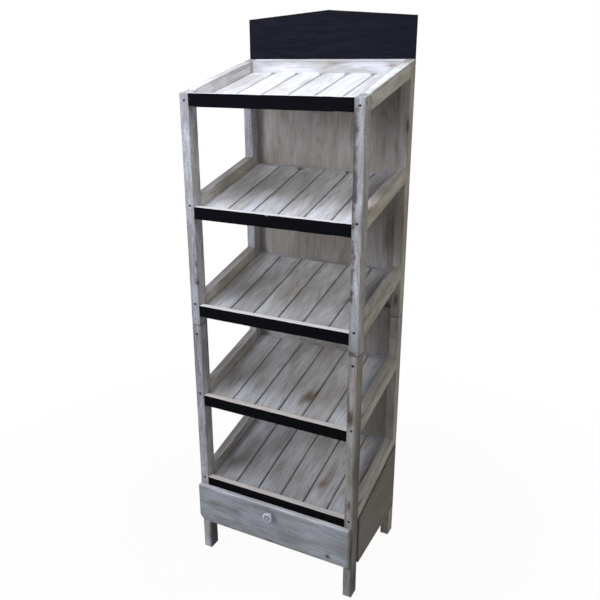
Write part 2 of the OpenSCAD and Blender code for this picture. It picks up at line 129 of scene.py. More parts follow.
def straight_board(points, grain, low=None, high=None):
    """The two end sections of a board with four upright corner lines, four corners each.

    The grain names the way the board is sawn: along x, y or z. A section at an end lists its
    corners in order round the outline.
    """
    x0, y0 = points.min(axis=0)[:2] if low is None else low
    x1, y1 = points.max(axis=0)[:2] if high is None else high
    span = {(x, y): upright_span(points, x, y) for x in (x0, x1) for y in (y0, y1)}
    if grain == "z":
        around = [(x0, y0), (x1, y0), (x1, y1), (x0, y1)]
        return [np.array([(*line, span[line][end]) for line in around]) for end in (0, 1)]
    ends = ([[(x0, y0), (x1, y0)], [(x0, y1), (x1, y1)]] if grain == "y"
            else [[(x0, y0), (x0, y1)], [(x1, y0), (x1, y1)]])
    return [np.array([(*a, span[a][0]), (*b, span[b][0]), (*b, span[b][1]), (*a, span[a][1])])
            for a, b in ends]


stand_low, stand_high = (np.array(corner) / MM for corner in cad_box)
print("stand, mm:", (stand_high - stand_low).round(1))

# %% [markdown]
# A sawn and hand-rubbed board isn't a perfect box. Its long edges are eased by a
# millimetre or so, more here and less there, with a few nicks, its faces are
# faintly dished, and the screws sit in small dimples. A Bevel modifier gives one
# even radius, so the board is made as rings of points instead: the outline is
# carried along the length, and each corner's radius wanders as it goes. First
# come the places of the rings, and of the points on a ring. They lie close
# together only where the shape turns.

# %% Where the points of a board lie
ARC = np.linspace(0, np.pi / 2, 4)      # angles of the points that round a corner
SUPPORT = 0.9                           # mm between an arc and the line that keeps its face flat
FACE_LINES = 9.0                        # mm between the lines of a face
LEAST_GAP = 0.08                        # mm between two rings
# Lines through a dimple in mm, and through a notch in shares of half its length.
DIMPLE_LINES = np.array([-4.9, -4.55, -4.2, -3.3, -1.7, 0, 1.7, 3.3, 4.2, 4.55, 4.9])
NOTCH_LINES = np.array([-1.3, -1.1, -0.95, -0.8, -0.5, 0, 0.5, 0.8, 0.95, 1.1, 1.3])


def unit(vectors):
    """Each vector divided by its own length."""
    return vectors / np.linalg.norm(vectors, axis=-1, keepdims=True)


def ring_places(length, wear, step, stops, dimples, notches):
    """Distances of the rings along a board: even steps, the rounded ends, the stops, the marks."""
    rounding = wear * (1 - np.cos(ARC))
    places = [rounding, length - rounding, np.arange(step, length - step / 2, step), stops]
    places += [along + DIMPLE_LINES for _, _, along in dimples]
    places += [length - from_end + reach * NOTCH_LINES for _, from_end, reach, _ in notches]
    places = np.sort(np.concatenate(places))
    places = places[(places >= 0) & (places <= length)]
    return places[np.concatenate([[True], np.diff(places) > LEAST_GAP])]


def outline_places(widths, wear, dimples):
    """Where the points of a ring lie on its outline, as arrays of corner, next corner and shares.

    Each corner gives an arc. Each side gives points at a share of the way from one arc to the
    next: a support line beside each arc, even lines between them, and lines through dimples.
    """
    own, after, share, arc_angle = [], [], [], []
    for corner, width in enumerate(widths):
        flat = width - 2 * wear
        lines = [np.array([SUPPORT, flat - SUPPORT])]
        lines += [np.linspace(0, flat, max(1, round(flat / FACE_LINES)) + 1)[1:-1]]
        lines += [across - wear + DIMPLE_LINES for side, across, _ in dimples if side == corner]
        lines = np.unique(np.round(np.concatenate(lines) / flat, 4))
        lines = lines[(lines > 0) & (lines < 1)]
        own += [corner] * (len(ARC) + len(lines))
        after += [corner] * len(ARC) + [(corner + 1) % len(widths)] * len(lines)
        share += [0.0] * len(ARC) + lines.tolist()
        arc_angle += ARC.tolist() + [np.pi / 2] * len(lines)
    return np.array(own), np.array(after), np.array(share)[:, None], np.array(arc_angle)[:, None]


print("rings of a 300 mm board:", len(ring_places(300, 1.3, 6.0, [], (), ())))

# %% [markdown]
# An edge that hands have rubbed has no even radius. It wanders along the board,
# a nick makes it larger for a few millimetres, and a notch bites deeper still.
# All of them are bumps on one curve of radius against distance, so they add up,
# and a cap keeps two neighbouring edges from meeting.

# %% Rounded edges
WANDER_MM = 16.0                        # mm between the random values of the radius
NICK_EVERY = 190.0                      # mm of edge for one nick
NICK_WIDTH, NICK_DEPTH = (1.5, 4.0), (0.4, 1.6)
ROUND_ROOM, BITE_ROOM = 0.42, 0.57      # most that a radius takes of a side, plain and in a notch


def edge_radii(rng, length, along, sides, wear, notches):
    """The radius of each corner at each ring in mm, and how much of it a notch bites.

    radius = wear * (0.75 + wander / 2) + nicks + bites, where wander runs in straight lines
    between random values from 0 to 1. A nick is depth * exp(-(distance / width)^2). A bite is
    depth * exp(-(distance / reach)^8), which has steep ends and a level floor.
    """
    count = sides.shape[1]
    stations = np.arange(0, length + WANDER_MM, WANDER_MM)
    radius = np.stack([np.interp(along, stations, rng.random(len(stations)))
                       for _ in range(count)], axis=1)
    radius = wear * (0.75 + 0.5 * radius)
    for i in range(count):
        for _ in range(rng.poisson(length / NICK_EVERY)):
            place, width, depth = rng.uniform(0, length), rng.uniform(*NICK_WIDTH), rng.uniform(*NICK_DEPTH)
            radius[:, i] += depth * np.exp(-((along - place) / width) ** 2)
    room = np.minimum(sides, np.roll(sides, 1, axis=1))
    radius = np.minimum(radius, ROUND_ROOM * room)
    bite = np.zeros_like(radius)
    for i, from_end, reach, depth in notches:
        bite[:, i] += depth * np.exp(-((along - length + from_end) / reach) ** 8)
    return np.minimum(radius + bite, BITE_ROOM * room)[..., None], bite


trial_edge, _ = edge_radii(np.random.default_rng(0), 300, np.linspace(0, 300, 31),
                           np.full((31, 4), 20.0), 1.3, ())
print("radii along a 300 mm edge:", trial_edge.min().round(2), "to", trial_edge.max().round(2), "mm")

# %% [markdown]
# The points lie in rings, so the faces follow from their numbers alone. A quad
# joins two neighbours on one ring to the same two on the next, and one flat face
# closes each end.

# %% Faces between the rings
def tube_faces(rings, around):
    """Quads between neighbouring rings, and one flat face at each end.

    Point j of ring i has the number i * around + j.
    """
    ring, place = np.meshgrid(np.arange(rings - 1), np.arange(around), indexing="ij")
    here = ring * around + place
    beside = ring * around + (place + 1) % around
    quads = np.stack([here, beside, beside + around, here + around], axis=-1).reshape(-1, 4)
    first = np.arange(around)[::-1]
    last = np.arange(around) + (rings - 1) * around
    return quads, first, last


print("faces of 3 rings of 8 points:", len(tube_faces(3, 8)[0]) + 2)

# %% [markdown]
# Now the sweep, for all rings and all points at once: the arrays have one row
# for each ring and one column for each point. The corners get their arcs, the
# sides run between them, and the ends draw in. Last, the points sink along the
# inward normal where a face is dished or a screw sits in its dimple.

# %% Sweep a board
BITE_SHARE = 0.45                       # a notch's arc also moves in by this share of its depth
CUP, CUP_WAVE = 0.25, (60, 140)         # mm that a face is dished, and how slowly that changes
DIMPLE_RADIUS, DIMPLE_WALL, DIMPLE_DEPTH = 4.0, 0.6, 1.9
RUB_WIDTH = 2.6                         # mm from an edge in which its wear fades
END_ZONE, END_RUB = 0.6, 0.3            # mm at the ends, and the wear on them
GRAIN_SHIFT = 4.0                       # m: each board takes its pattern from another place


def board(sections, seed, wear=1.3, step=6.0, dimples=(), notches=()):
    """A board with rubbed edges, swept through its sections (n corners each, in mm).

    At distance d along the board, corner c is rounded with radius r(d):
        arc point = c + r * ((1 - sin a) * to_previous + (1 - cos a) * to_next), a from 0 to 90 degrees
    with r(d) from edge_radii, and the sides run straight between the arcs.
    Near an end the whole outline draws in by wear * (1 - cos b), which rounds the end the same way.
    Then each point sinks along the inward normal by the dish of its face and by the dimples.
    A dimple is (side, distance across it, distance along). A notch is a short bite out of one
    corner: (corner, distance from the far end, half its length, depth).
    """
    rng = np.random.default_rng(seed)
    sections = np.asarray(sections, float)
    middles = sections.mean(axis=1)
    stops = np.concatenate([[0], np.cumsum(np.linalg.norm(np.diff(middles, axis=0), axis=1))])
    length = stops[-1]
    along = ring_places(length, wear, step, stops[1:-1], dimples, notches)
    count = sections.shape[1]
    corners = np.stack([[np.interp(along, stops, sections[:, i, k]) for k in range(3)]
                        for i in range(count)]).transpose(2, 0, 1)
    to_previous = unit(np.roll(corners, 1, axis=1) - corners)
    to_next = unit(np.roll(corners, -1, axis=1) - corners)
    run = unit(middles[-1] - middles[0])
    # Bulge is 1 at a corner that points outwards, and -1 in a rebate.
    turns = np.cross(to_next, to_previous) @ run
    bulge = np.where(turns * np.sign(turns.sum()) > 0, 1.0, -1.0)[..., None]

    to_end = np.minimum(along, length - along)
    inside = np.clip(1 - to_end / wear, 0, 1)
    draw_in = wear * (1 - np.sqrt(1 - inside ** 2))
    corners = corners + draw_in[:, None, None] * bulge * (to_previous + to_next)

    sides = np.linalg.norm(np.roll(corners, -1, axis=1) - corners, axis=2)
    radius, bite = edge_radii(rng, length, along, sides, wear, notches)
    own, after, share, angle = outline_places(sides[len(along) // 2], wear, dimples)
    sin, cos = np.sin(angle), np.cos(angle)
    arcs = corners[:, own] + radius[:, own] * ((1 - sin) * to_previous[:, own]
                                               + (1 - cos) * to_next[:, own])
    far = corners[:, after] + radius[:, after] * to_previous[:, after]
    points = (1 - share) * arcs + share * far
    points = points + (share == 0) * BITE_SHARE * bite[:, own, None] * (to_previous + to_next)[:, own]
    inward = unit((1 - share) * bulge[:, own] * (sin * to_previous[:, own] + cos * to_next[:, own])
                  + share * bulge[:, after] * to_next[:, after])

    phase = rng.uniform(0, 2 * np.pi, count)
    dish = 0.5 + 0.5 * np.sin(along[:, None] / rng.uniform(*CUP_WAVE) + phase[own])
    depth = CUP * dish * 4 * (share * (1 - share))[:, 0]
    for side, across, place in dimples:
        reach = ((points - corners[:, own]) * to_next[:, own]).sum(axis=2)
        off = np.hypot(reach - across, along[:, None] - place)
        wall = np.clip((DIMPLE_RADIUS + DIMPLE_WALL - off) / DIMPLE_WALL, 0, 1)
        depth = depth + DIMPLE_DEPTH * wall * ((own == side) & (after != own))
    points = points + depth[..., None] * inward

    edge_gap = np.minimum(share, 1 - share)[:, 0] * sides[:, own]
    rubbed = np.exp(-edge_gap / RUB_WIDTH)
    rubbed[to_end < END_ZONE] = END_RUB
    across_way = unit(sections[0, 1] - sections[0, 0])
    across_way = unit(across_way - (across_way @ run) * run)
    axes = np.stack([across_way, np.cross(run, across_way), run], axis=1)
    grain = ((points - middles[0]) @ axes) * MM + rng.uniform(-GRAIN_SHIFT, GRAIN_SHIFT, 3)
    return {"points": points.reshape(-1, 3), "faces": tube_faces(*points.shape[:2]),
            "grain": grain.reshape(-1, 3), "rubbed": rubbed.ravel(),
            "tone_and_shading": np.full(points.shape[0] * points.shape[1], rng.uniform(-1, 1))}


trial = board([[(0, y, 0), (60, y, 0), (60, y, 10), (0, y, 10)] for y in (0, 300)], seed=0)
print("points of a 300 mm slat:", len(trial["points"]))

# %% [markdown]
# The boards of one node are joined into one mesh. The mesh carries what its
# material needs to know: each point's place in its own board (the grain), how
# near it is to a rubbed edge, a tone that makes neighbouring boards differ and
# also carries painted light and shade, and any stain that lies there. Values on
# the mesh stay with the wood when a piece moves, and the pattern can't slide.

# %% Boards into pieces
made = []


def outward(points, quads):
    """True if the faces of a closed shape point outwards: its signed volume is above zero."""
    a, b, c, d = (points[quads[:, i]] for i in range(4))
    return (np.einsum("ij,ij->i", a, np.cross(b, c)) + np.einsum("ij,ij->i", a, np.cross(c, d))).sum() > 0


def spots(points, marks):
    """The sum of soft spots, each strength * exp(-|(p - place) / size|^2), at every point."""
    total = np.zeros(len(points))
    for place, size, strength in marks:
        total += strength * np.exp(-(((points - place) / size) ** 2).sum(axis=1))
    return total


def build(name, boards, stains=(), tones_and_shading=()):
    """One mesh object in metres from boards in millimetres, with its attributes.

    Stains and tones are lists of spots in mm: (place, size, strength). A stain brings out old
    colour or dirt. A tone makes the surface lighter, or darker where its strength is below 0;
    most tones are painted light and shade.
    """
    start, faces = 0, []
    for one in boards:
        quads, first, last = one["faces"]
        flip = 1 if outward(one["points"] - one["points"].mean(axis=0), quads) else -1
        faces += [(face[::flip] + start).tolist() for face in (first, last)]
        faces += (quads[:, ::flip] + start).tolist()
        start += len(one["points"])
    points = np.concatenate([one["points"] for one in boards])
    mesh = bpy.data.meshes.new(name)
    mesh.from_pydata((points * MM).tolist(), [], faces)
    mesh.polygons.foreach_set("use_smooth", np.ones(len(mesh.polygons), bool))
    grain = mesh.attributes.new("grain", "FLOAT_VECTOR", "POINT")
    grain.data.foreach_set("vector", np.concatenate([one["grain"] for one in boards]).ravel())
    values = {"rubbed": np.concatenate([one["rubbed"] for one in boards]),
              "tone_and_shading": np.concatenate([one["tone_and_shading"] for one in boards]) + spots(points, tones_and_shading),
              "stain": spots(points, stains)}
    for key, value in values.items():
        mesh.attributes.new(key, "FLOAT", "POINT").data.foreach_set("value", value.astype(np.float32))
    mesh.validate()
    piece = bpy.data.objects.new(name, mesh)
    bpy.context.scene.collection.objects.link(piece)
    return piece


def dress(node, piece, material):
    """Puts a made piece in the place of its CAD node."""
    piece.data.materials.append(material)
    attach(piece, BODY_OF[node])
    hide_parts(node)
    made.append(piece)


print("the trial's faces have to be turned:", not outward(trial["points"], trial["faces"][0]))

# %% [markdown]
# Colours are written as sRGB hex values, as a colour picker shows them. Blender's
# sockets take linear values, so one function turns them. One more small function
# adds a node with its settings and links, and reads like a sentence in use.

# %% Colour and node helpers
# The Mix node's sockets for colours, by number, because their names come more than once.
FACTOR, FIRST, SECOND, MIXED = 0, 6, 7, 2


def srgb(code):
    """An sRGB hex colour as linear RGBA: c / 12.92 near black, ((c + 0.055) / 1.055) ** 2.4 above."""
    steps = np.array([int(code[i:i + 2], 16) for i in (1, 3, 5)]) / 255
    linear = np.where(steps <= 0.04045, steps / 12.92, ((steps + 0.055) / 1.055) ** 2.4)
    return (*linear.tolist(), 1.0)


def add(tree, kind, inputs=None, **settings):
    """Adds a node, sets its settings, and fills its inputs with values or links."""
    fresh = tree.nodes.new(kind)
    for key, value in settings.items():
        setattr(fresh, key, value)
    for socket, value in (inputs or {}).items():
        if isinstance(value, bpy.types.NodeSocket):
            tree.links.new(value, fresh.inputs[socket])
        else:
            fresh.inputs[socket].default_value = value
    return fresh


def new_finish(name):
    """A material with its node tree and its shader."""
    material = bpy.data.materials.new(name)
    material.use_nodes = True
    return material, material.node_tree, material.node_tree.nodes["Principled BSDF"]


print("mid grey in linear light:", round(srgb("#808080")[0], 3))

# %% [markdown]
# Whitewashed pine is thin white paint, brushed on and rubbed back. Wood shows
# where the paint is thin: in streaks along the fibres, at rubbed edges, round
# knots, and in brown and olive patches where old stain comes through. Dirt lies
# in fine dark hairs along the grain. So the colour is built in that order, from
# the wood up, with noise stretched along the grain. Each layer's size is in
# millimetres across, through and along the board. Real pine fibres are finer than
# this picture can show, so fibre and hair are drawn as coarse as 2 mm.

# %% Noise layers along the grain
LAYERS = {
    # name: (size in mm, lowest and highest noise value used, detail)
    "fibre": ((2.2, 2.2, 100), 0.32, 0.68, 4),
    "hair": ((2.0, 2.0, 170), 0.60, 0.71, 2),
    "brush": ((10, 10, 62), 0.33, 0.67, 5),
    "mottle": ((5, 5, 8), 0.48, 0.67, 3),
    "cloud": ((60, 60, 190), 0.36, 0.64, 3),
    "dirt": ((4.5, 4.5, 120), 0.60, 0.73, 3),
    "patch": ((38, 38, 105), 0.53, 0.74, 3),
}
NOISE_ROUGHNESS = 0.62


def stretched(tree, grain, size):
    """The grain coordinates divided by a size in mm: across, through and along the board."""
    return add(tree, "ShaderNodeVectorMath", {0: grain, 1: [1 / (mm * MM) for mm in size]},
               operation="MULTIPLY").outputs[0]


def wood_layers(tree, layers):
    """The grain coordinates and a 0 to 1 value for each noise layer."""
    grain = add(tree, "ShaderNodeAttribute", attribute_name="grain").outputs["Vector"]
    values = {}
    for name, (size, low, high, detail) in layers.items():
        noise = add(tree, "ShaderNodeTexNoise", {"Vector": stretched(tree, grain, size), "Scale": 1.0,
                                                 "Detail": detail, "Roughness": NOISE_ROUGHNESS})
        values[name] = add(tree, "ShaderNodeMapRange",
                           {"Value": noise.outputs["Fac"], "From Min": low, "From Max": high},
                           interpolation_type="SMOOTHSTEP").outputs[0]
    return grain, values


print("noise layers:", ", ".join(LAYERS))

# %% [markdown]
# The growth rings are another matter. A flat-sawn board cuts through them at a
# low angle, so they show as long arches, the contour lines of a smooth field.
# They are drawn as just that: the sine of a slow noise times the ring count.
# Knots are few, and oval along the grain. They come from a pattern of cells, each
# with a point and a random value: only where that value is high, the cell's point
# becomes a knot.

# %% Growth rings and knots
RING_FIELD = (44, 44, 520)          # mm
RING_COUNT = 13
KNOT_CELL = (75, 75, 230)           # mm
KNOT_LIMIT = 0.80                   # the least random value that gives a cell its knot
KNOT_CORE, KNOT_HALO = 0.03, 0.16   # radii in shares of a cell: fully dark, and no longer dark


def growth_rings(tree, grain):
    """1 on the dark late wood of the growth rings: sin(2 pi * count * field), its crests only."""
    field = add(tree, "ShaderNodeTexNoise", {"Vector": stretched(tree, grain, RING_FIELD),
                                             "Scale": 1.0, "Detail": 1.5, "Roughness": 0.35})
    angle = add(tree, "ShaderNodeMath", {0: field.outputs["Fac"], 1: 2 * math.pi * RING_COUNT},
                operation="MULTIPLY")
    wave = add(tree, "ShaderNodeMath", {0: angle.outputs[0]}, operation="SINE")
    return add(tree, "ShaderNodeMapRange", {"Value": wave.outputs[0], "From Min": -0.1, "From Max": 1.0},
               interpolation_type="SMOOTHSTEP").outputs[0]


def knots(tree, grain):
    """1 in the core of a knot and 0 away from it, in a few cells of a stretched cell pattern."""
    cell = add(tree, "ShaderNodeTexVoronoi", {"Vector": stretched(tree, grain, KNOT_CELL), "Scale": 1.0})
    near = add(tree, "ShaderNodeMapRange",
               {"Value": cell.outputs["Distance"], "From Min": KNOT_HALO, "From Max": KNOT_CORE},
               interpolation_type="SMOOTHSTEP")
    chosen = add(tree, "ShaderNodeMath", {0: cell.outputs["Color"], 1: KNOT_LIMIT},
                 operation="GREATER_THAN")
    return add(tree, "ShaderNodeMath", {0: near.outputs[0], 1: chosen.outputs[0]},
               operation="MULTIPLY").outputs[0]


print("half a knot, mm:", [round(KNOT_HALO * size) for size in KNOT_CELL])

# %% [markdown]
# Now the layers go over each other as the maker put them on: bare wood with its
# rings and knots, the paint where it covers, then what comes through the paint
# and what lies on it. Cover is a plain sum. It is more in the brush streaks and
# on the fibres, and less on rings, worn edges, stains and knots. Each layer is
# then one Mix node, whose factor says how much of it lies where.

# %% Whitewash
# What each layer adds to the cover, and the least and most cover that is left.
BRUSH_COVER, FIBRE_COVER, RING_COVER, STAIN_COVER, KNOT_COVER = 0.28, 0.18, -0.13, -0.6, -0.6
LEAST_COVER, MOST_COVER = 0.06, 0.97
STAIN_SHARE = 0.85
TONE_STEP = 0.09        # one unit of tone is 9 % more light from the surface
LEAST_LIGHT = 0.03
BARE_ROUGH, PAINT_ROUGH = 0.62, 0.82
BUMP_MM = 0.35
KNOT_BROWN, MOTTLE_GREY, DIRT_BROWN, HAIR_BROWN, EDGE_DARK_GREY = ("#45352c", "#7b7a84", "#4d4a49",
                                                             "#3d3937", "#3c3a40")


def whitewash(name, wood, late_wood, thin, full, cover, rub, dirt, mottle, patches, patch, stained,
              streaks=1.0, edge_dark=0.0, knotty=1.0):
    """Whitewashed pine: bare wood and its rings, then paint, then patches, dirt and stains.

    The numbers from 0 to 1 say how much there is: cover is how much paint, rub is how far it is
    rubbed off at the edges, then dirt, mottle and patches, streaks of the brush, darkening on the
    very edges, and knots. stained is the colour of the stains.
    """
    material, tree, skin = new_finish(name)
    grain, value = wood_layers(tree, LAYERS)
    marks = {key: add(tree, "ShaderNodeAttribute", attribute_name=key).outputs["Fac"]
             for key in ("rubbed", "tone_and_shading", "stain")}
    knot = add(tree, "ShaderNodeMath", {0: knots(tree, grain), 1: knotty}, operation="MULTIPLY").outputs[0]
    ring = growth_rings(tree, grain)

    bare = add(tree, "ShaderNodeMix", {FACTOR: ring, FIRST: srgb(wood), SECOND: srgb(late_wood)},
               data_type="RGBA").outputs[MIXED]
    bare = add(tree, "ShaderNodeMix", {FACTOR: knot, FIRST: bare, SECOND: srgb(KNOT_BROWN)},
               data_type="RGBA").outputs[MIXED]
    paint = add(tree, "ShaderNodeMix", {FACTOR: value["cloud"], FIRST: srgb(thin),
                                        SECOND: srgb(full)}, data_type="RGBA").outputs[MIXED]
    worn = add(tree, "ShaderNodeMath", {0: marks["rubbed"], 1: value["brush"]}, operation="MULTIPLY")
    coverage = cover
    for layer, weight in ((value["brush"], BRUSH_COVER * streaks),
                          (value["fibre"], FIBRE_COVER * streaks), (ring, RING_COVER),
                          (worn.outputs[0], -rub), (marks["stain"], STAIN_COVER), (knot, KNOT_COVER)):
        coverage = add(tree, "ShaderNodeMath", {0: layer, 1: weight, 2: coverage},
                       operation="MULTIPLY_ADD").outputs[0]
    coverage = add(tree, "ShaderNodeClamp", {"Value": coverage, "Min": LEAST_COVER,
                                            "Max": MOST_COVER}).outputs[0]
    colour = add(tree, "ShaderNodeMix", {FACTOR: coverage, FIRST: bare, SECOND: paint},
                 data_type="RGBA").outputs[MIXED]
    # The very edges are darker, rubbed ^ 3, and unevenly.
    edge = add(tree, "ShaderNodeMath", {0: marks["rubbed"], 1: 3.0}, operation="POWER")
    uneven = add(tree, "ShaderNodeMath", {0: value["brush"], 1: 0.6, 2: 0.4}, operation="MULTIPLY_ADD")
    edge_darkening = add(tree, "ShaderNodeMath", {0: edge.outputs[0], 1: uneven.outputs[0]},
                   operation="MULTIPLY").outputs[0]
    # A stain is broken up: thin all over, and stronger on fibres and mottles.
    broken = add(tree, "ShaderNodeMath", {0: value["fibre"], 1: 0.45, 2: 0.15}, operation="MULTIPLY_ADD")
    broken = add(tree, "ShaderNodeMath", {0: value["mottle"], 1: 0.6, 2: broken.outputs[0]},
                 operation="MULTIPLY_ADD")
    blot = add(tree, "ShaderNodeMath", {0: broken.outputs[0], 1: marks["stain"]},
               operation="MULTIPLY", use_clamp=True).outputs[0]
    for layer, amount, tint in ((value["patch"], patches, patch), (value["mottle"], mottle, MOTTLE_GREY),
                                (value["dirt"], dirt, DIRT_BROWN), (value["hair"], dirt, HAIR_BROWN),
                                (edge_darkening, edge_dark, EDGE_DARK_GREY), (blot, STAIN_SHARE, stained)):
        share = add(tree, "ShaderNodeMath", {0: layer, 1: amount}, operation="MULTIPLY")
        colour = add(tree, "ShaderNodeMix", {FACTOR: share.outputs[0], FIRST: colour,
                                             SECOND: srgb(tint)}, data_type="RGBA").outputs[MIXED]
    # The tone, each board's own with the painted light and shade added to it, scales the colour.
    bright = add(tree, "ShaderNodeMath", {0: marks["tone_and_shading"], 1: TONE_STEP, 2: 1.0}, operation="MULTIPLY_ADD")
    bright = add(tree, "ShaderNodeMath", {0: bright.outputs[0], 1: LEAST_LIGHT}, operation="MAXIMUM")
    colour = add(tree, "ShaderNodeVectorMath", {0: colour, "Scale": bright.outputs[0]},
                 operation="SCALE").outputs[0]
    tree.links.new(colour, skin.inputs["Base Color"])

    rough = add(tree, "ShaderNodeMapRange", {"Value": coverage, "To Min": BARE_ROUGH, "To Max": PAINT_ROUGH})
    tree.links.new(rough.outputs[0], skin.inputs["Roughness"])
    relief = add(tree, "ShaderNodeMath", {0: value["fibre"], 1: 0.5, 2: coverage},
                 operation="MULTIPLY_ADD")
    bump = add(tree, "ShaderNodeBump", {"Strength": 0.5, "Distance": BUMP_MM * MM,
                                        "Height": relief.outputs[0]})
    tree.links.new(bump.outputs[0], skin.inputs["Normal"])
    skin.inputs["Specular IOR Level"].default_value = 0.3
    return material

# %% [markdown]
# The boards aren't all washed alike. The tray and the slats are nearly white, the
# posts bluish and streaked, and the boards near the floor brown and olive, with
# dirt and with painted shade. One function makes all of these finishes, and only
# colours and amounts differ, so the boards still look painted by one hand.

# %% The washes of this stand
# Posts: a bluish wash over grey-brown wood, brown at the rubbed edges.
post_wash = whitewash("whitewashed_pine", wood="#8f8378", late_wood="#6f6359", thin="#9fa1a8",
                      full="#d3d8e6", cover=0.54, rub=0.55, dirt=0.42, mottle=0.55, patches=0.28,
                      patch="#827c6b", stained="#3f3c47")
# The lower right post: the same wash, warmer and darker.
low_wash = whitewash("whitewashed_pine_low", wood="#867a6e", late_wood="#675c52", thin="#8f8c88",
                     full="#b9b6b5", cover=0.50, rub=0.50, dirt=0.42, mottle=0.40, patches=0.35,
                     patch="#7a7362", stained="#453a38")
# Side rails and the right rear posts: a less bluish, more even wash.
rail_wash = whitewash("whitewashed_pine_rails", wood="#948a80", late_wood="#776c62", thin="#a9a7a5",
                      full="#d3d2d4", cover=0.54, rub=0.40, dirt=0.30, mottle=0.35, patches=0.28,
                      patch="#8b8370", stained="#4a4340", streaks=0.8)
# Slats: a thick white wash, with a little brown and olive coming through.
slat_wash = whitewash("whitewashed_slats", wood="#b2aaa2", late_wood="#93897f", thin="#cacacd",
                      full="#eef1fc", cover=0.64, rub=0.12, dirt=0.42, mottle=0.10, patches=0.28,
                      patch="#a0978a", stained="#80644f", streaks=0.7, edge_dark=0.62, knotty=0.35)
# The top tray, which people see best, has the thickest wash.
tray_wash = whitewash("whitewashed_tray", wood="#b8b0a9", late_wood="#9c928a", thin="#d6d6db",
                      full="#f0f3fe", cover=0.68, rub=0.10, dirt=0.34, mottle=0.06, patches=0.22,
                      patch="#ada396", stained="#80644f", streaks=0.6, edge_dark=0.42, knotty=0.25)
# Thin back boards: a dull brown-grey wash.
board_wash = whitewash("whitewashed_board", wood="#a89c92", late_wood="#918377", thin="#b6afa9",
                       full="#d0cdcd", cover=0.56, rub=0.4, dirt=0.16, mottle=0.15, patches=0.6,
                       patch="#908273", stained="#5a4a40", streaks=0.7)
# Boards at the foot: the same wash, olive-grey with dirt, and darker still as painted shade near the floor.
shaded_foot_wash = whitewash("whitewashed_foot_boards_shaded", wood="#625b51", late_wood="#4b443c", thin="#64625d",
                      full="#7b7977", cover=0.46, rub=0.4, dirt=0.4, mottle=0.3, patches=0.75,
                      patch="#4f4839", stained="#3d332a")
# The drawer front: a bluish wash with brown clouds.
drawer_wash = whitewash("whitewashed_drawer", wood="#88807a", late_wood="#726a66", thin="#9a9da5",
                        full="#bcc1cc", cover=0.56, rub=0.2, dirt=0.24, mottle=0.15, patches=0.34,
                        patch="#837c73", stained="#5c5045")
# The knob: the drawer's wash, put on thicker and so paler.
knob_wash = whitewash("whitewashed_knob", wood="#88807a", late_wood="#7d7470", thin="#b2b6c0",
                      full="#dde2ec", cover=0.80, rub=0.1, dirt=0.2, mottle=0.3, patches=0.2,
                      patch="#8d8a86", stained="#5c5045")
print("nodes in one wash:", len(post_wash.node_tree.nodes))

# %% [markdown]
# The front boards are pine painted matt black, with the top edge left in
# whitewash. Paint breaks first along the edges, so black gives way to bare wood
# there. The top edge is found from the surface normal: it is the only face that
# looks up, and these boards never tilt.

# %% Black paint
SIDE_Z, TOP_Z = 0.62, 0.82      # the normal's z, where the top's colour begins and where it is full
RUB_FADE = 0.2


def black_paint(name, paint, grain_tint, under, top, shade, rub_limit):
    """Matt black paint on pine, rubbed through where edge wear + brush / 2 + chips pass rub_limit.

    If top is given, the top edge is pale: top is its colour and shade the colour in its grain.
    """
    material, tree, skin = new_finish(name)
    _, value = wood_layers(tree, {key: LAYERS[key] for key in ("fibre", "brush")})
    rubbed, chipped = (add(tree, "ShaderNodeAttribute", attribute_name=key).outputs["Fac"]
                       for key in ("rubbed", "stain"))
    streak = add(tree, "ShaderNodeMath", {0: value["fibre"], 1: value["brush"]}, operation="MULTIPLY")
    colour = add(tree, "ShaderNodeMix", {FACTOR: streak.outputs[0], FIRST: srgb(paint),
                                         SECOND: srgb(grain_tint)}, data_type="RGBA").outputs[MIXED]
    wear = add(tree, "ShaderNodeMath", {0: value["brush"], 1: 0.5, 2: rubbed}, operation="MULTIPLY_ADD")
    wear = add(tree, "ShaderNodeMath", {0: wear.outputs[0], 1: chipped}, operation="ADD")
    through = add(tree, "ShaderNodeMapRange",
                  {"Value": wear.outputs[0], "From Min": rub_limit, "From Max": rub_limit + RUB_FADE},
                  interpolation_type="SMOOTHSTEP").outputs[0]
    colour = add(tree, "ShaderNodeMix", {FACTOR: through, FIRST: colour, SECOND: srgb(under)},
                 data_type="RGBA").outputs[MIXED]
    if top:
        up = add(tree, "ShaderNodeSeparateXYZ",
                 {0: add(tree, "ShaderNodeNewGeometry").outputs["Normal"]}).outputs["Z"]
        ragged = add(tree, "ShaderNodeMath", {0: value["brush"], 1: 0.2, 2: up}, operation="MULTIPLY_ADD")
        is_top = add(tree, "ShaderNodeMapRange",
                     {"Value": ragged.outputs[0], "From Min": SIDE_Z, "From Max": TOP_Z},
                     interpolation_type="SMOOTHSTEP").outputs[0]
        pale = add(tree, "ShaderNodeMix", {FACTOR: value["fibre"], FIRST: srgb(top),
                                           SECOND: srgb(shade)}, data_type="RGBA").outputs[MIXED]
        colour = add(tree, "ShaderNodeMix", {FACTOR: is_top, FIRST: colour, SECOND: pale},
                     data_type="RGBA").outputs[MIXED]
    tree.links.new(colour, skin.inputs["Base Color"])
    bump = add(tree, "ShaderNodeBump", {"Strength": 0.4, "Distance": 0.2 * MM, "Height": value["fibre"]})
    tree.links.new(bump.outputs[0], skin.inputs["Normal"])
    skin.inputs["Roughness"].default_value = 0.7
    skin.inputs["Specular IOR Level"].default_value = 0.03
    return material


# Front boards: a bluish black with a faint grain, under a nearly white top edge.
fascia_black = black_paint("black_painted_pine", paint="#09090e", grain_tint="#12131b",
                           under="#9b928d", top="#f2f3f8", shade="#d6d3d3", rub_limit=1.3)
# The two lowest: a plainer black, and a duller top edge.
low_fascia_black = black_paint("black_painted_pine_low", paint="#08080b", grain_tint="#101115",
                               under="#9b928d", top="#e9e3e4", shade="#c4bab5", rub_limit=1.3)
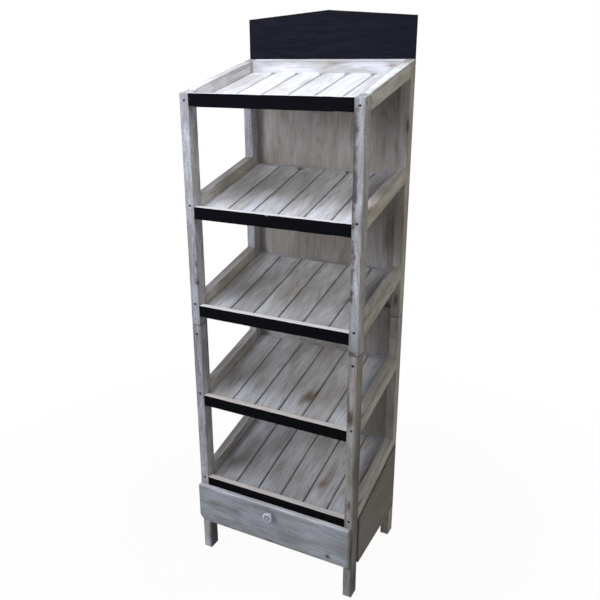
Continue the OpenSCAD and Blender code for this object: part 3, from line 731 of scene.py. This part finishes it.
# The header: chalkboard paint, a softer black, with red-brown wood where it is chipped.
chalk_black = black_paint("chalkboard_paint", paint="#15161e", grain_tint="#20212b",
                          under="#5c4038", top=None, shade=None, rub_limit=1.15)
print("nodes in the black paint:", len(fascia_black.node_tree.nodes))

# %% [markdown]
# Inside, the drawer box, its runners and the dowels are bare pine: pale yellow
# wood with soft darker growth lines, waxed by handling. The dowels stay as CAD
# pieces, so their wood reads Object coordinates, which are the stand's own.

# %% Bare pine and steel
DOWEL_SCALES = (420.0, 30.0)    # for each metre: lines 2.4 mm apart, and clouds 33 mm apart


def bare_pine(name, coordinates):
    """Bare pine: a pale wood, mixed with a darker one on its growth lines, and clouded."""
    material, tree, skin = new_finish(name)
    if coordinates == "grain":
        grain, value = wood_layers(tree, {"cloud": LAYERS["cloud"]})
        lines, cloud = growth_rings(tree, grain), value["cloud"]
    else:
        place = add(tree, "ShaderNodeTexCoord").outputs["Object"]
        lines, cloud = (add(tree, "ShaderNodeTexNoise", {"Vector": place, "Scale": scale, "Detail": 2.0})
                        .outputs["Fac"] for scale in DOWEL_SCALES)
    colour = add(tree, "ShaderNodeMix", {FACTOR: lines, FIRST: srgb("#c9ad83"),
                                         SECOND: srgb("#a98658")}, data_type="RGBA").outputs[MIXED]
    colour = add(tree, "ShaderNodeMix", {FACTOR: cloud, FIRST: colour, SECOND: srgb("#bda27c")},
                 data_type="RGBA").outputs[MIXED]
    tree.links.new(colour, skin.inputs["Base Color"])
    bump = add(tree, "ShaderNodeBump", {"Strength": 0.4, "Distance": 0.2 * MM, "Height": lines})
    tree.links.new(bump.outputs[0], skin.inputs["Normal"])
    skin.inputs["Roughness"].default_value = 0.55
    return material


def spotted(name, base, spot, size, low, high, metallic, roughness):
    """A plain finish with spots, such as metal with tarnish. Spot size in mm."""
    material, tree, skin = new_finish(name)
    place = add(tree, "ShaderNodeTexCoord").outputs["Object"]
    noise = add(tree, "ShaderNodeTexNoise", {"Vector": place, "Scale": 1 / (size * MM), "Detail": 4.0})
    share = add(tree, "ShaderNodeMapRange",
                {"Value": noise.outputs["Fac"], "From Min": low, "From Max": high},
                interpolation_type="SMOOTHSTEP").outputs[0]
    colour = add(tree, "ShaderNodeMix", {FACTOR: share, FIRST: srgb(base), SECOND: srgb(spot)},
                 data_type="RGBA").outputs[MIXED]
    tree.links.new(colour, skin.inputs["Base Color"])
    bump = add(tree, "ShaderNodeBump", {"Strength": 0.3, "Distance": 0.15 * MM, "Height": share})
    tree.links.new(bump.outputs[0], skin.inputs["Normal"])
    skin.inputs["Metallic"].default_value = metallic
    skin.inputs["Roughness"].default_value = roughness
    return material


drawer_pine = bare_pine("bare_pine", "grain")
dowel_pine = bare_pine("bare_pine_dowels", "object")
# Zinc-plated screws, tarnished nearly black in their holes.
old_zinc = spotted("zinc_steel", "#45423f", "#1f1b19", size=2, low=0.38, high=0.56,
                   metallic=0.8, roughness=0.55)
print("nodes in bare pine:", len(drawer_pine.node_tree.nodes))

# %% [markdown]
# The posts come first. Their screws are already in the frame, sunk 1.5 mm, so
# the dimples are put exactly where the screw heads are: the heads' places are
# read from the CAD screws, as the middles of the rings of points that lie on the
# plane of the heads.

# %% Screw heads in the posts
SINK = 1.5          # mm from a face down to the top of a head
HEAD_WIDTH = 12.0   # mm: more than a head measures, less than the way to the next one


def head_places(node, axis, plane):
    """Middles of the screw heads whose tops lie on a plane, in millimetres."""
    points = cad_points(node)
    points = points[np.abs(points[:, axis] - plane) < LINE_TOLERANCE]
    places = []
    while len(points):
        near = np.linalg.norm(points - points[0], axis=1) < HEAD_WIDTH
        places.append((points[near].min(axis=0) + points[near].max(axis=0)) / 2)
        points = points[~near]
    return places


post_front = cad_points("upper_front_post_right")[:, 1].min()
post_side = cad_points("upper_front_post_right")[:, 0].max()
front_heads = (head_places("long_screws", 1, post_front + SINK)
               + head_places("short_screws", 1, post_front + SINK))
side_heads = [place for side in (-1, 1)
              for place in head_places("long_screws", 0, side * (post_side - SINK))]
print("heads in the posts:", len(front_heads), "in front,", len(side_heads), "at the sides")

# %% [markdown]
# Each post has marks that one knows it by, such as the flaked edge of the upper
# right one. Noise can't put them in their places, so they are listed one by one as
# soft spots. A strip of flaked paint is a row of small ones, placed at random
# with a fixed seed, so that it comes out the same every time.

# %% Marks and painted shading on the posts
FRONT, BACK = -170, 194     # y of the posts' front and rear faces, to the nearest mm


def flaked(x, z0, z1, count, seed):
    """Stains of flaked paint: random spots beside the line at x, from height z0 to z1."""
    rng = np.random.default_rng(seed)
    flakes = []
    for z in rng.uniform(z0, z1, count):
        place = (x + rng.uniform(-3, 6), FRONT, z)
        size = (rng.uniform(3, 5), 7, rng.uniform(3, 9))
        flakes.append((place, size, rng.uniform(0.8, 2.2)))
    return flakes


# Stains, then tones that make the surface lighter or darker: (place, size, strength), in mm.
# The tones are partly the paint's own and partly painted light and shade, such as the dark
# sides near the floor.
POST_MARKS_AND_SHADING = {
    "upper_front_post_right": (
        flaked(240, 950, 1470, 46, 7)
        + [((240, FRONT, 1385), (5, 7, 16), 2.2), ((240, FRONT, 1316), (5, 7, 16), 2.4),
         ((241, FRONT, 1262), (6, 7, 30), 3.2), ((243, FRONT, 1222), (6, 7, 12), 2.2),
         ((243, FRONT, 1150), (5, 7, 12), 1.6), ((239, FRONT, 1015), (4, 7, 20), 1.4),
         ((245, FRONT, 803), (9, 7, 5), 1.8)],
        # Tones: lighter front, and painted light on the right side.
        [((254, FRONT, 1250), (16, 9, 190), 4.4), ((254, FRONT, 980), (16, 9, 150), 5.4),
         ((265, -143, 1350), (9, 30, 150), 1.4), ((265, -143, 1000), (9, 30, 190), 2.2)]),
    "upper_front_post_left": (
        flaked(-243, 890, 1010, 6, 8),
        [((-251, FRONT, 1270), (22, 9, 190), 2.3), ((-237, -150, 1240), (5, 40, 300), 2.4)]),
    "lower_front_post_right": (
        [((246, FRONT, 610), (9, 8, 20), 1.7), ((238, FRONT, 680), (2.5, 7, 80), 0.9),
         ((263, -165, 435), (4, 8, 34), 1.3), ((250, FRONT, 325), (5, 7, 15), 1.5),
         ((238, FRONT, 230), (4, 7, 50), 0.7), ((254, FRONT, 106), (8, 8, 9), 0.9)],
        # Tones: lighter front patches, then painted shade on the right side and at the foot.
        [((251, FRONT, 715), (20, 9, 60), 2.6), ((251, FRONT, 550), (20, 9, 34), 2.0),
         ((251, FRONT, 450), (20, 9, 70), 0.8), ((266, -145, 400), (6, 40, 340), -8.0),
         ((251, -153, 50), (30, 40, 75), -1.4), ((266, -145, 50), (7, 50, 75), -6.5)]),
    "lower_front_post_left": (
        [],
        # Tones: darker front, lighter inner side, then painted shade on the inner side at the foot.
        [((-251, FRONT, 500), (22, 9, 300), -1.6), ((-237, -148, 500), (5, 40, 260), 2.4),
         ((-236, -150, 50), (6, 60, 130), -10.5), ((-251, FRONT, 50), (18, 9, 80), 3.4)]),
}
print("posts with marks of their own:", len(POST_MARKS_AND_SHADING))

# %% [markdown]
# A post is a plain board on end, with a dimple over each screw. The upper and
# lower posts meet in a butt joint, and dirt in the joint shows as a dark line, so
# each post gets a thin stain at the end where it meets the other.

# %% Posts
POST_FINISHES = {"lower_front_post_right": low_wash, "upper_rear_post_right": rail_wash,
                 "lower_rear_post_right": rail_wash}
SEAM_SIZE, SEAM_STAIN = (60, 60, 2.4), 0.9      # the joint's stain: wide, and 2.4 mm high
SLACK = 1           # mm, because a head's middle lies almost on the post's face


def post(node, seed):
    """A post, with dimples in its front face (outline side 0) and its outer face (side 1 or 3)."""
    sections = straight_board(cad_points(node), "z")
    low, high = sections[0].min(axis=0), sections[1].max(axis=0)
    dimples = [(0, place[0] - low[0], place[2] - low[2]) for place in front_heads
               if (low < place + SLACK).all() and (place < high).all()
               and abs(place[1] - low[1]) < 2 * SINK]
    for place in side_heads:
        if (low < place + SLACK).all() and (place < high + SLACK).all():
            right = place[0] > 0
            across = place[1] - low[1] if right else high[1] - place[1]
            dimples.append((1 if right else 3, across, place[2] - low[2]))
    stains, tones_and_shading = POST_MARKS_AND_SHADING.get(node, ([], []))
    joint = low if node.startswith("upper") else high
    piece = build(node + "_wood", [board(sections, seed, wear=1.5, step=3.0, dimples=dimples)],
                  stains + [(joint, SEAM_SIZE, SEAM_STAIN)], tones_and_shading)
    dress(node, piece, POST_FINISHES.get(node, post_wash))


for index, name in enumerate(f"{level}_{end}_post_{side}" for level in ("upper", "lower")
                             for end in ("front", "rear") for side in ("left", "right")):
    post(name, seed=100 + index)
print("pieces so far:", len(made))

# %% [markdown]
# The rest of the frame is straight boards as well. What differs is the way the
# grain runs and the finish, so one table holds both for each group of nodes.

# %% Rails, front boards, backs and drawer boards
SHELVES = (1, 2, 3, 4, 5)
BOTH = ("left", "right")
GROUPS = [
    # nodes, grain, finish, slot, edge wear in mm
    ([f"shelf_{n}_rail_{side}" for n in SHELVES[1:] for side in BOTH],
     "y", rail_wash, "whitewashed_pine", 1.4),
    ([f"shelf_{n}_fascia" for n in SHELVES[:3]], "x", fascia_black, "black_painted_pine", 0.9),
    ([f"shelf_{n}_fascia" for n in SHELVES[3:]], "x", low_fascia_black, "black_painted_pine", 0.9),
    (["shelf_1_rail_left", "shelf_1_rail_right"], "y", slat_wash, "whitewashed_slats", 1.3),
    (["shelf_1_rear_rail"], "x", slat_wash, "whitewashed_slats", 1.3),
    (["joint_rail"], "x", post_wash, "whitewashed_pine", 1.3),
    ([f"base_rail_{side}" for side in BOTH], "y", post_wash, "whitewashed_pine", 1.3),
    (["upper_back_panel", "lower_back_panel"], "z", board_wash, "whitewashed_board", 0.7),
    ([f"base_panel_{side}" for side in BOTH], "y", shaded_foot_wash, "whitewashed_board", 0.8),
    ([f"{part}_{side}" for part in ("runner", "kicker") for side in BOTH],
     "y", drawer_pine, "bare_pine", 1.0),
    ([f"drawer_side_{side}" for side in BOTH], "y", drawer_pine, "bare_pine", 0.9),
    (["drawer_back", "drawer_bottom"], "x", drawer_pine, "bare_pine", 0.7),
]
# Place and size of painted light and shade that covers the inner faces of the left rails, or all of a right
# rail.
INNER_FACE = (-237, 0, 700), (8, 400, 2000)
RIGHT_RAIL = (251, 0, 700), (30, 400, 2000)
TRAY_TOP, TRAY_SLOPE = 1494.2, np.tan(np.radians(13))       # z of the tray rails' tops at y = 0
# Stains, then tones, as for the posts. Here the tones are all painted light and shade.
BOARD_MARKS_AND_SHADING = {
    # Painted light on the inner faces of the left rails, stronger on the lower rails.
    "shelf_2_rail_left": ([((-246, 149, 1247), (8, 9, 8), 1.0)], [(*INNER_FACE, 2.8)]),
    "shelf_3_rail_left": ([], [(*INNER_FACE, 4.2)]),
    "shelf_4_rail_left": ([], [(*INNER_FACE, 6.2)]),
    "shelf_5_rail_left": ([((-237, -60, 300), (4, 90, 14), 0.6)], [(*INNER_FACE, 7.4)]),
    # The tray's right rail: a darker outer face, and a painted highlight along its top edge.
    "shelf_1_rail_right": ([], [((266, 0, 1500), (6, 400, 2000), -1.8)]
                           + [((249, y, TRAY_TOP + TRAY_SLOPE * y), (15, 40, 5), 2.6)
                              for y in (-130, -80, -30, 20, 70, 120)]),
    # A pool of painted light at the front of the second right rail.
    "shelf_2_rail_right": ([], [((252, -68, 1191), (24, 52, 16), 9.0)]),
    "shelf_3_rail_right": ([], [(*RIGHT_RAIL, -0.8)]),
    "shelf_4_rail_right": ([], [(*RIGHT_RAIL, 0.6)]),
    "shelf_5_rail_right": ([], [(*RIGHT_RAIL, 0.3)]),
    "shelf_2_fascia": ([((-6, FRONT, 1151), (5, 8, 4), 1.2)], []),
    # Stains, then painted shade under the tray's gaps.
    "shelf_1_rear_rail": ([((30, 166, 1528), (22, 6, 9), 0.5), ((206, 166, 1524), (17, 6, 5), 1.2)],
                          [((x, 166, 1485), (9, 12, 8), -9.0) for x in (-159, -79, 0, 79, 159)]),
    # Stains, then painted shade at the top and at the right, and painted light in the middle.
    "upper_back_panel": (
        [((-60, BACK, 1040), (14, 6, 14), 0.7), ((-20, BACK, 1075), (7, 6, 10), 0.6),
         ((100, BACK, 1340), (16, 6, 70), 0.55), ((62, BACK, 1390), (26, 6, 34), 0.35),
         ((180, BACK, 1340), (20, 6, 110), 0.5), ((215, BACK, 1040), (18, 6, 60), 1.0)],
        [((0, BACK, 1450), (320, 20, 90), -1.8), ((30, BACK, 1255), (260, 20, 60), 1.4),
         ((10, BACK, 1330), (80, 20, 110), 1.6), ((20, BACK, 1040), (90, 20, 60), 1.5),
         ((215, BACK, 1370), (60, 20, 120), -1.4), ((215, BACK, 1040), (50, 20, 120), -1.6)]),
    # Painted shade at the right of the lower back panel.
    "lower_back_panel": ([((190, BACK, 600), (14, 6, 60), 0.5)], [((215, BACK, 640), (55, 20, 220), -2.4)]),
    "base_panel_right": (
        [((270, -60, 160), (6, 70, 12), 0.5), ((270, 60, 190), (6, 60, 12), 0.5),
         ((270, 57, 116), (6, 44, 9), 1.1), ((270, 136, 121), (6, 34, 9), 1.1)], []),
}
seed = 200
for nodes, way, finish, slot, wear in GROUPS:
    for node in nodes:
        seed += 1
        one = board(straight_board(cad_points(node), way), seed, wear=wear)
        dress(node, build(node + "_wood", [one], *BOARD_MARKS_AND_SHADING.get(node, ())), finish)
print("pieces so far:", len(made))

# %% [markdown]
# A deck is six slats in one node, so the slats' sides are found first: they are
# the different x values among the node's points. Each slat is then read as any
# board. Stains that stand out are listed one by one, in millimetres on the stand.
# At the rear of some gaps the slats' corners are split off, which leaves small
# holes, darkened with painted shade. The top tray's slats end in a groove, so
# their notches stop 8 mm short of the slats' ends. Each deck also gets painted
# light and shade at its front, its rear and its right end.

# %% Slats
DECK_STAINS = {
    2: [((-150, 60, 1196), (7, 80, 30), 0.5), ((222, 90, 1200), (34, 90, 60), 0.7)],
    3: [((-29, 0, 885), (8, 60, 30), 0.6), ((-190, 40, 900), (10, 70, 30), 0.5),
        ((222, 80, 905), (34, 90, 60), 0.7)],
    4: [((68, -52, 577), (18, 22, 20), 1.6), ((82, -25, 585), (5, 20, 20), 0.5),
        ((52, -80, 570), (7, 22, 20), 0.8), ((-215, -20, 590), (12, 50, 30), 0.5),
        ((-110, -52, 579), (9, 28, 20), 0.5), ((132, -5, 592), (16, 40, 20), 0.5),
        ((232, 60, 610), (14, 110, 60), 0.7)],
    5: [((-50, -50, 286), (20, 45, 30), 0.6), ((113, -55, 287), (12, 22, 25), 1.0),
        ((120, -10, 298), (9, 60, 30), 0.7), ((-190, 20, 300), (12, 60, 30), 0.6),
        ((232, 40, 312), (14, 110, 60), 1.2), ((231, 5, 303), (9, 30, 16), 1.6)],
}
# Painted light and shade at the front, at the rear and at the right of a deck: lighter above 0, darker
# below.
DECK_SHADING = {2: (1.2, 0.4, -5.2), 3: (-2.7, 1.4, -7.2), 4: (-2.0, 1.1, -5.4), 5: (-3.2, -0.8, -7.2)}
# The sizes of those spots, and where the right one lies: its x, and its y by deck.
FRONT_SIZE, REAR_SIZE, RIGHT_SIZE = (400, 90, 60), (400, 130, 60), (60, 120, 120)
RIGHT_X, RIGHT_Y = 236, {2: 90, 3: 70, 4: 70, 5: 70}
# The gaps with a split rear end, by deck: gap 1 is between slats 1 and 2.
NOTCHED_GAPS = {1: (1, 2, 3, 4, 5), 2: (2, 4)}
NOTCH_REACH, NOTCH_DEPTH = 6.5, 4.4
# Painted shade in the holes that the split corners leave.
HOLE_SIZE, HOLE_SHADE = (8, 9, 14), -10.0
GROOVE = 8.0


def deck(n):
    """The six slats of a deck. Slat k runs from side 2k to side 2k + 1, counted from the left."""
    node = f"shelf_{n}_slats"
    points = cad_points(node)
    sides = np.unique(points[:, 0])
    y0, y1 = points[:, 1].min(), points[:, 1].max()
    from_end = NOTCH_REACH + (GROOVE if n == 1 else 0)
    slats = []
    for k, (a, b) in enumerate(zip(sides[::2], sides[1::2])):
        notches = [(corner, from_end, NOTCH_REACH, NOTCH_DEPTH)
                   for corner, gap in ((3, k), (2, k + 1)) if gap in NOTCHED_GAPS.get(n, ())]
        slats.append(board(straight_board(points, "y", (a, y0), (b, y1)), 300 + 10 * n + k,
                           wear=1.2, step=5.0, notches=notches))
    low, high = points[:, 2].min(), points[:, 2].max()
    gaps = [(sides[2 * gap - 1] + sides[2 * gap]) / 2 for gap in NOTCHED_GAPS.get(n, ())]
    tones_and_shading = [((x, y1 - from_end, high), HOLE_SIZE, HOLE_SHADE) for x in gaps]
    if n in DECK_SHADING:
        front_shading, rear_shading, right_shading = DECK_SHADING[n]
        tones_and_shading += [((0, y0, low), FRONT_SIZE, front_shading), ((0, y1, high), REAR_SIZE, rear_shading),
                  ((RIGHT_X, RIGHT_Y[n], (low + high) / 2), RIGHT_SIZE, right_shading)]
    piece = build(node + "_wood", slats, DECK_STAINS.get(n, ()), tones_and_shading)
    dress(node, piece, tray_wash if n == 1 else slat_wash)


for n in SHELVES:
    deck(n)
print("pieces so far:", len(made))

# %% [markdown]
# Behind the slats of the four lower decks lies a rail with a rebate, and under
# each deck a batten. The rail's outline has six corners, two of them in the
# rebate. A batten is square to the slope, so its four corners are the lowest,
# rearmost, highest and foremost points of its end.

# %% Rear rails, battens, stops
BATTEN_DROP = 20.0      # mm: no batten reaches further below its deck's lowest point


def rebated_rail(n, seed):
    """A rear rail: its outline goes round the rebate that the slats' ends lie in."""
    node = f"shelf_{n}_rear_rail"
    points = cad_points(node)
    front, rear = points[:, 1].min(), points[:, 1].max()
    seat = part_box(f"shelf_{n}_slats")[1].y / MM
    sections = []
    for x in (points[:, 0].min(), points[:, 0].max()):
        lines = [upright_span(points, x, y) for y in (front, seat, rear)]
        sections.append([(x, front, lines[0][0]), (x, rear, lines[2][0]), (x, rear, lines[2][1]),
                         (x, seat, lines[1][1]), (x, seat, lines[1][0]), (x, front, lines[0][1])])
    piece = build(node + "_wood", [board(sections, seed, wear=1.0)])
    dress(node, piece, slat_wash)


def end_corners(points, x):
    """The four corners of a tilted rectangle at the plane x, in order round it."""
    end = points[np.abs(points[:, 0] - x) < LINE_TOLERANCE]
    y, z = end[:, 1], end[:, 2]
    return [end[z.argmin()], end[y.argmax()], end[z.argmax()], end[y.argmin()]]


for n in SHELVES[1:]:
    rebated_rail(n, 400 + n)

battens = []
batten_points = cad_points("deck_battens")
for n in SHELVES:
    low, high = (corner.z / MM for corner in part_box(f"shelf_{n}_slats"))
    one = batten_points[(batten_points[:, 2] > low - BATTEN_DROP) & (batten_points[:, 2] < high)]
    battens.append(board([end_corners(one, one[:, 0].min()), end_corners(one, one[:, 0].max())],
                         420 + n, wear=1.0))
dress("deck_battens", build("deck_battens_wood", battens), slat_wash)

stop_points = cad_points("drawer_stops")
stops = [board(straight_board(stop_points[stop_points[:, 0] * side > 0], "y"), 430 + side, wear=0.9)
         for side in (-1, 1)]
dress("drawer_stops", build("drawer_stops_wood", stops), drawer_pine)
print("pieces so far:", len(made))

# %% [markdown]
# The header and the drawer front aren't rectangles: one has a gable, the other a
# broken corner. Both are still an outline carried from left to right, with one
# more section where the shape changes. The header's rear holds four screws.

# %% Header and drawer front
def header(seed):
    """The header: its outline at the left, at the peak and at the right.

    The top edge runs straight between them, which makes the gable.
    """
    points = cad_points("header")
    (x0, y0, z0), (x1, y1, z1) = points.min(axis=0), points.max(axis=0)
    side_z = upright_span(points, x1, y1)[1]
    sections = [[(x, y0, z0), (x, y1, z0), (x, y1, top), (x, y0, top)]
                for x, top in ((x0, side_z), (0, z1), (x1, side_z))]
    heads = head_places("short_screws", 1, y1 - SINK)
    dimples = [(1, place[2] - z0, place[0] - x0) for place in heads]
    lower_edge = [((x, y0, z0), (60, 6, 2.5), 0.8) for x in (-210, -60, 90, 200)]
    piece = build("header_board", [board(sections, seed, wear=1.1, dimples=dimples)], lower_edge)
    dress("header", piece, chalk_black)


def drawer_front(seed):
    """The drawer front: its outline at the left, at the end of the break and at the right.

    The foot runs straight between them, so it rises to the left over the broken corner.
    """
    points = cad_points("drawer_front")
    (x0, y0, z0), (x1, y1, z1) = points.min(axis=0), points.max(axis=0)
    chip_top = upright_span(points, x0, y0)[0]
    on_foot = points[np.abs(points[:, 2] - z0) < LINE_TOLERANCE]
    chip_end = on_foot[:, 0].min()
    sections = [[(x, y0, foot), (x, y1, foot), (x, y1, z1), (x, y0, z1)]
                for x, foot in ((x0, chip_top), (chip_end, z0), (x1, z0))]
    stains = [((-208, y0, 192), (26, 30, 9), 0.7), ((-130, y0, 190), (24, 30, 12), 0.6),
              ((-5, y0, 122), (13, 30, 4), 1.4), ((193, y0, 139), (6, 30, 4), 2.4),
              ((60, y0, 121), (90, 30, 4), 0.6), ((-160, y0, 121), (50, 30, 4), 0.5)]
    # Painted highlight on the top face and along the top edge, where light falls from above; then two darker
    # spots on stains, and lighter and darker patches.
    tones_and_shading = [((x, y0 + 8, z1 + 1), (120, 20, 3), 7.0) for x in (-220, -70, 80, 230)]
    tones_and_shading += [((x, y0, z1), (120, 2.6, 3), 4.5) for x in (-220, -70, 80, 230)]
    tones_and_shading += [((193, y0, 139), (5, 8, 4), -4.5), ((-5, y0, 123), (12, 8, 3), -2.5)]
    tones_and_shading += [((0, y0, 170), (22, 9, 16), 1.4), ((110, y0, 180), (45, 9, 14), 1.0),
              ((165, y0, 148), (50, 9, 14), 0.8), ((-130, y0, 194), (40, 9, 12), -0.9),
              ((-60, y0, 178), (30, 9, 20), -0.7), ((60, y0, 150), (40, 9, 12), -0.5)]
    piece = build("drawer_front_board", [board(sections, seed, wear=1.8, step=4.0)], stains, tones_and_shading)
    dress("drawer_front", piece, drawer_wash)


header(500)
drawer_front(501)
print("pieces so far:", len(made))

# %% [markdown]
# The knob is turned on a lathe, so its mesh is a profile carried round an axis.
# The profile is given by a few points, radius and distance from the drawer
# front, and its corners are cut three times, which rounds them the way sandpaper
# does. The axis and the sizes come from the frame.

# %% Knob
KNOB_PROFILE = [
    # share of the largest radius, share of the length
    (0.54, 0.0), (0.53, 0.14), (0.58, 0.30), (0.84, 0.54), (1.04, 0.68), (1.04, 0.82), (0.94, 1.0),
    (0.78, 1.04), (0.68, 0.99), (0.54, 0.83), (0.42, 0.81), (0.32, 0.82), (0.25, 0.96), (0.13, 0.975),
    (0.02, 0.975),
]
KNOB_AROUND = 64
DISH_RADIUS, DISH_FROM, DISH_TO = 0.66, 0.5, 0.93       # the dish, in the same shares
# Painted shade in the dish, and painted light on the upper side of the rim.
DISH_SHADE, RIM_LIGHT = -4.0, 6.0


def rounded(points, times):
    """Corner cutting: each side is replaced by its points at 1/4 and 3/4, and the ends stay."""
    for _ in range(times):
        a, b = points[:-1], points[1:]
        cut = np.stack([0.75 * a + 0.25 * b, 0.25 * a + 0.75 * b], axis=1).reshape(-1, 2)
        points = np.concatenate([points[:1], cut, points[-1:]])
    return points


def knob():
    """The knob: a profile point (r, out) turned by t becomes (r cos t, -out, r sin t).

    The upper side is lighter, painted light: the tone goes with sin t. The dish is darker, painted shade.
    """
    low, high = (np.array(corner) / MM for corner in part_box("drawer_knob"))
    radius, length = (high[0] - low[0]) / 2, high[1] - low[1]
    middle = (low + high) / 2
    profile = np.minimum(rounded(np.array(KNOB_PROFILE), 3), 1)
    in_dish = (profile[:, 0] < DISH_RADIUS) & (profile[:, 1] > DISH_FROM) & (profile[:, 1] < DISH_TO)
    r, out = profile[:, :1] * radius, profile[:, 1:] * length
    turn = np.linspace(0, 2 * np.pi, KNOB_AROUND, endpoint=False)
    points = np.stack([middle[0] + r * np.cos(turn), np.repeat(high[1] - out, KNOB_AROUND, 1),
                       middle[2] + r * np.sin(turn)], axis=-1)
    tone_and_shading = np.where(in_dish[:, None], DISH_SHADE, RIM_LIGHT * np.clip(np.sin(turn) + 0.2, -0.6, 1))
    turned = {"points": points.reshape(-1, 3), "faces": tube_faces(*points.shape[:2]),
              "grain": ((points - middle)[..., [0, 2, 1]] * MM).reshape(-1, 3),
              "rubbed": np.zeros(len(profile) * KNOB_AROUND), "tone_and_shading": tone_and_shading.ravel()}
    dress("drawer_knob", build("turned_knob", [turned]), knob_wash)


knob()
print("pieces made:", len(made))

# %% [markdown]
# Screws, pins and dowels are already right as CAD solids. They only need their
# finish, which goes into the material slots that the import gave them.

# %% Finish the fasteners
FASTENERS = {"long_screws": old_zinc, "short_screws": old_zinc, "panel_pins": old_zinc,
             "knob_screw": old_zinc, "joint_dowels": dowel_pine, "cross_dowels": dowel_pine,
             "drawer_dowels": dowel_pine}
for node, finish in FASTENERS.items():
    for place in frame["nodes"][node].material_slots:
        place.material = finish

left = sorted(node for node, piece in frame["nodes"].items()
              if not piece.hide_render and node not in FASTENERS)
print("nodes still in the CAD's own finish:", left)

# %% [markdown]
# The photograph has a white backdrop with no horizon. More light on a pale floor
# would also bleach the stand, so the white is put only where the camera or a
# reflection looks: there the floor shines white by itself. Near the stand a
# little of the lit floor stays in the mix, and with it the stand's shadow.

# %% Floor
FLOOR_HALF = 8.0                    # m
SHADOW_FROM, SHADOW_TO = 0.5, 1.6   # m from the middle, between which the shadow fades out
NEAR_WHITE = 0.96                   # the white's share by the stand


def seen_directly(tree):
    """1 for a ray from the camera, a reflection or through glass: the largest of the three."""
    rays = add(tree, "ShaderNodeLightPath").outputs
    seen = rays["Is Camera Ray"]
    for ray in ("Is Glossy Ray", "Is Transmission Ray"):
        seen = add(tree, "ShaderNodeMath", {0: seen, 1: rays[ray]}, operation="MAXIMUM").outputs[0]
    return seen


floor_mesh = bpy.data.meshes.new("floor")
floor_corners = [(x * FLOOR_HALF, y * FLOOR_HALF, 0) for x, y in ((-1, -1), (1, -1), (1, 1), (-1, 1))]
floor_mesh.from_pydata(floor_corners, [], [(0, 1, 2, 3)])
floor = bpy.data.objects.new("floor", floor_mesh)
bpy.context.scene.collection.objects.link(floor)

pale, tree, skin = new_finish("pale_floor")
skin.inputs["Base Color"].default_value = srgb("#e6e6e6")
skin.inputs["Roughness"].default_value = 0.9
place = add(tree, "ShaderNodeTexCoord").outputs["Object"]
distance = add(tree, "ShaderNodeVectorMath", {0: place}, operation="LENGTH").outputs["Value"]
fade = add(tree, "ShaderNodeMapRange", {"Value": distance, "From Min": SHADOW_FROM,
                                        "From Max": SHADOW_TO, "To Min": NEAR_WHITE, "To Max": 1.0})
share = add(tree, "ShaderNodeMath", {0: fade.outputs[0], 1: seen_directly(tree)}, operation="MULTIPLY")
white = add(tree, "ShaderNodeEmission", {"Color": srgb("#ffffff"), "Strength": 1.0})
mixed = add(tree, "ShaderNodeMixShader", {0: share.outputs[0], 1: skin.outputs[0], 2: white.outputs[0]})
tree.links.new(mixed.outputs[0], tree.nodes["Material Output"].inputs["Surface"])
floor_mesh.materials.append(pale)
print("floor:", 2 * FLOOR_HALF, "m each way")

# %% [markdown]
# The world is a soft light from all sides, which gives the shadows their level.
# The same question as for the floor, which ray is asking, turns it white where
# it is looked at.

# %% World
SHADOW_LEVEL = 0.14

world = bpy.data.worlds.new("studio")
bpy.context.scene.world = world
world.use_nodes = True
sky = world.node_tree
seen = seen_directly(sky)
shade = add(sky, "ShaderNodeBackground", {"Color": srgb("#fffefb"), "Strength": SHADOW_LEVEL})
bright = add(sky, "ShaderNodeBackground", {"Color": srgb("#ffffff"), "Strength": 1.0})
mixed = add(sky, "ShaderNodeMixShader", {0: seen, 1: shade.outputs[0], 2: bright.outputs[0]})
sky.links.new(mixed.outputs[0], sky.nodes["World Output"].inputs["Surface"])
print("world light:", SHADOW_LEVEL)

# %% [markdown]
# The photograph's light is daylight: cool from the front and from above, and a
# little warm from the right, where it has bounced. The top tray is the brightest,
# and each deck below gets less. One lamp close above the header gives that,
# because its distance to the decks grows downwards. A wide one in front at the
# left lights the front faces and reaches the backs, and a weak warm one lights
# the right-hand sides.

# %% Lamps
LAMPS = [
    # name, place, what it looks at, size in m, power in W, colour
    ("overhead", (-0.1, -0.55, 2.45), (0, -0.1, 1.3), 0.9, 17.5, "#f7faff"),
    ("front_left", (-1.7, -2.4, 1.9), (0, 0, 0.9), 1.4, 40, "#eff5ff"),
    ("warm_right", (2.3, -0.2, 2.2), (0, 0, 1.2), 1.2, 12, "#fff4cd"),
]
for name, place, target, size, power, tint in LAMPS:
    lamp = bpy.data.lights.new(name, "AREA")
    lamp.shape = "DISK"
    lamp.size = size
    lamp.energy = power
    lamp.color = srgb(tint)[:3]
    holder = bpy.data.objects.new(name, lamp)
    away = Vector(place) - Vector(target)
    holder.matrix_world = Matrix.Translation(place) @ away.to_track_quat("Z", "Y").to_matrix().to_4x4()
    bpy.context.scene.collection.objects.link(holder)
    print(name, "at", round(away.length, 2), "m")

bpy.context.scene.view_settings.view_transform = "Standard"

# %% [markdown]
# Last, the triangles of all the made pieces are counted.

# %% Finish
print("triangles:", sum(len(face.vertices) - 2 for piece in made for face in piece.data.polygons))
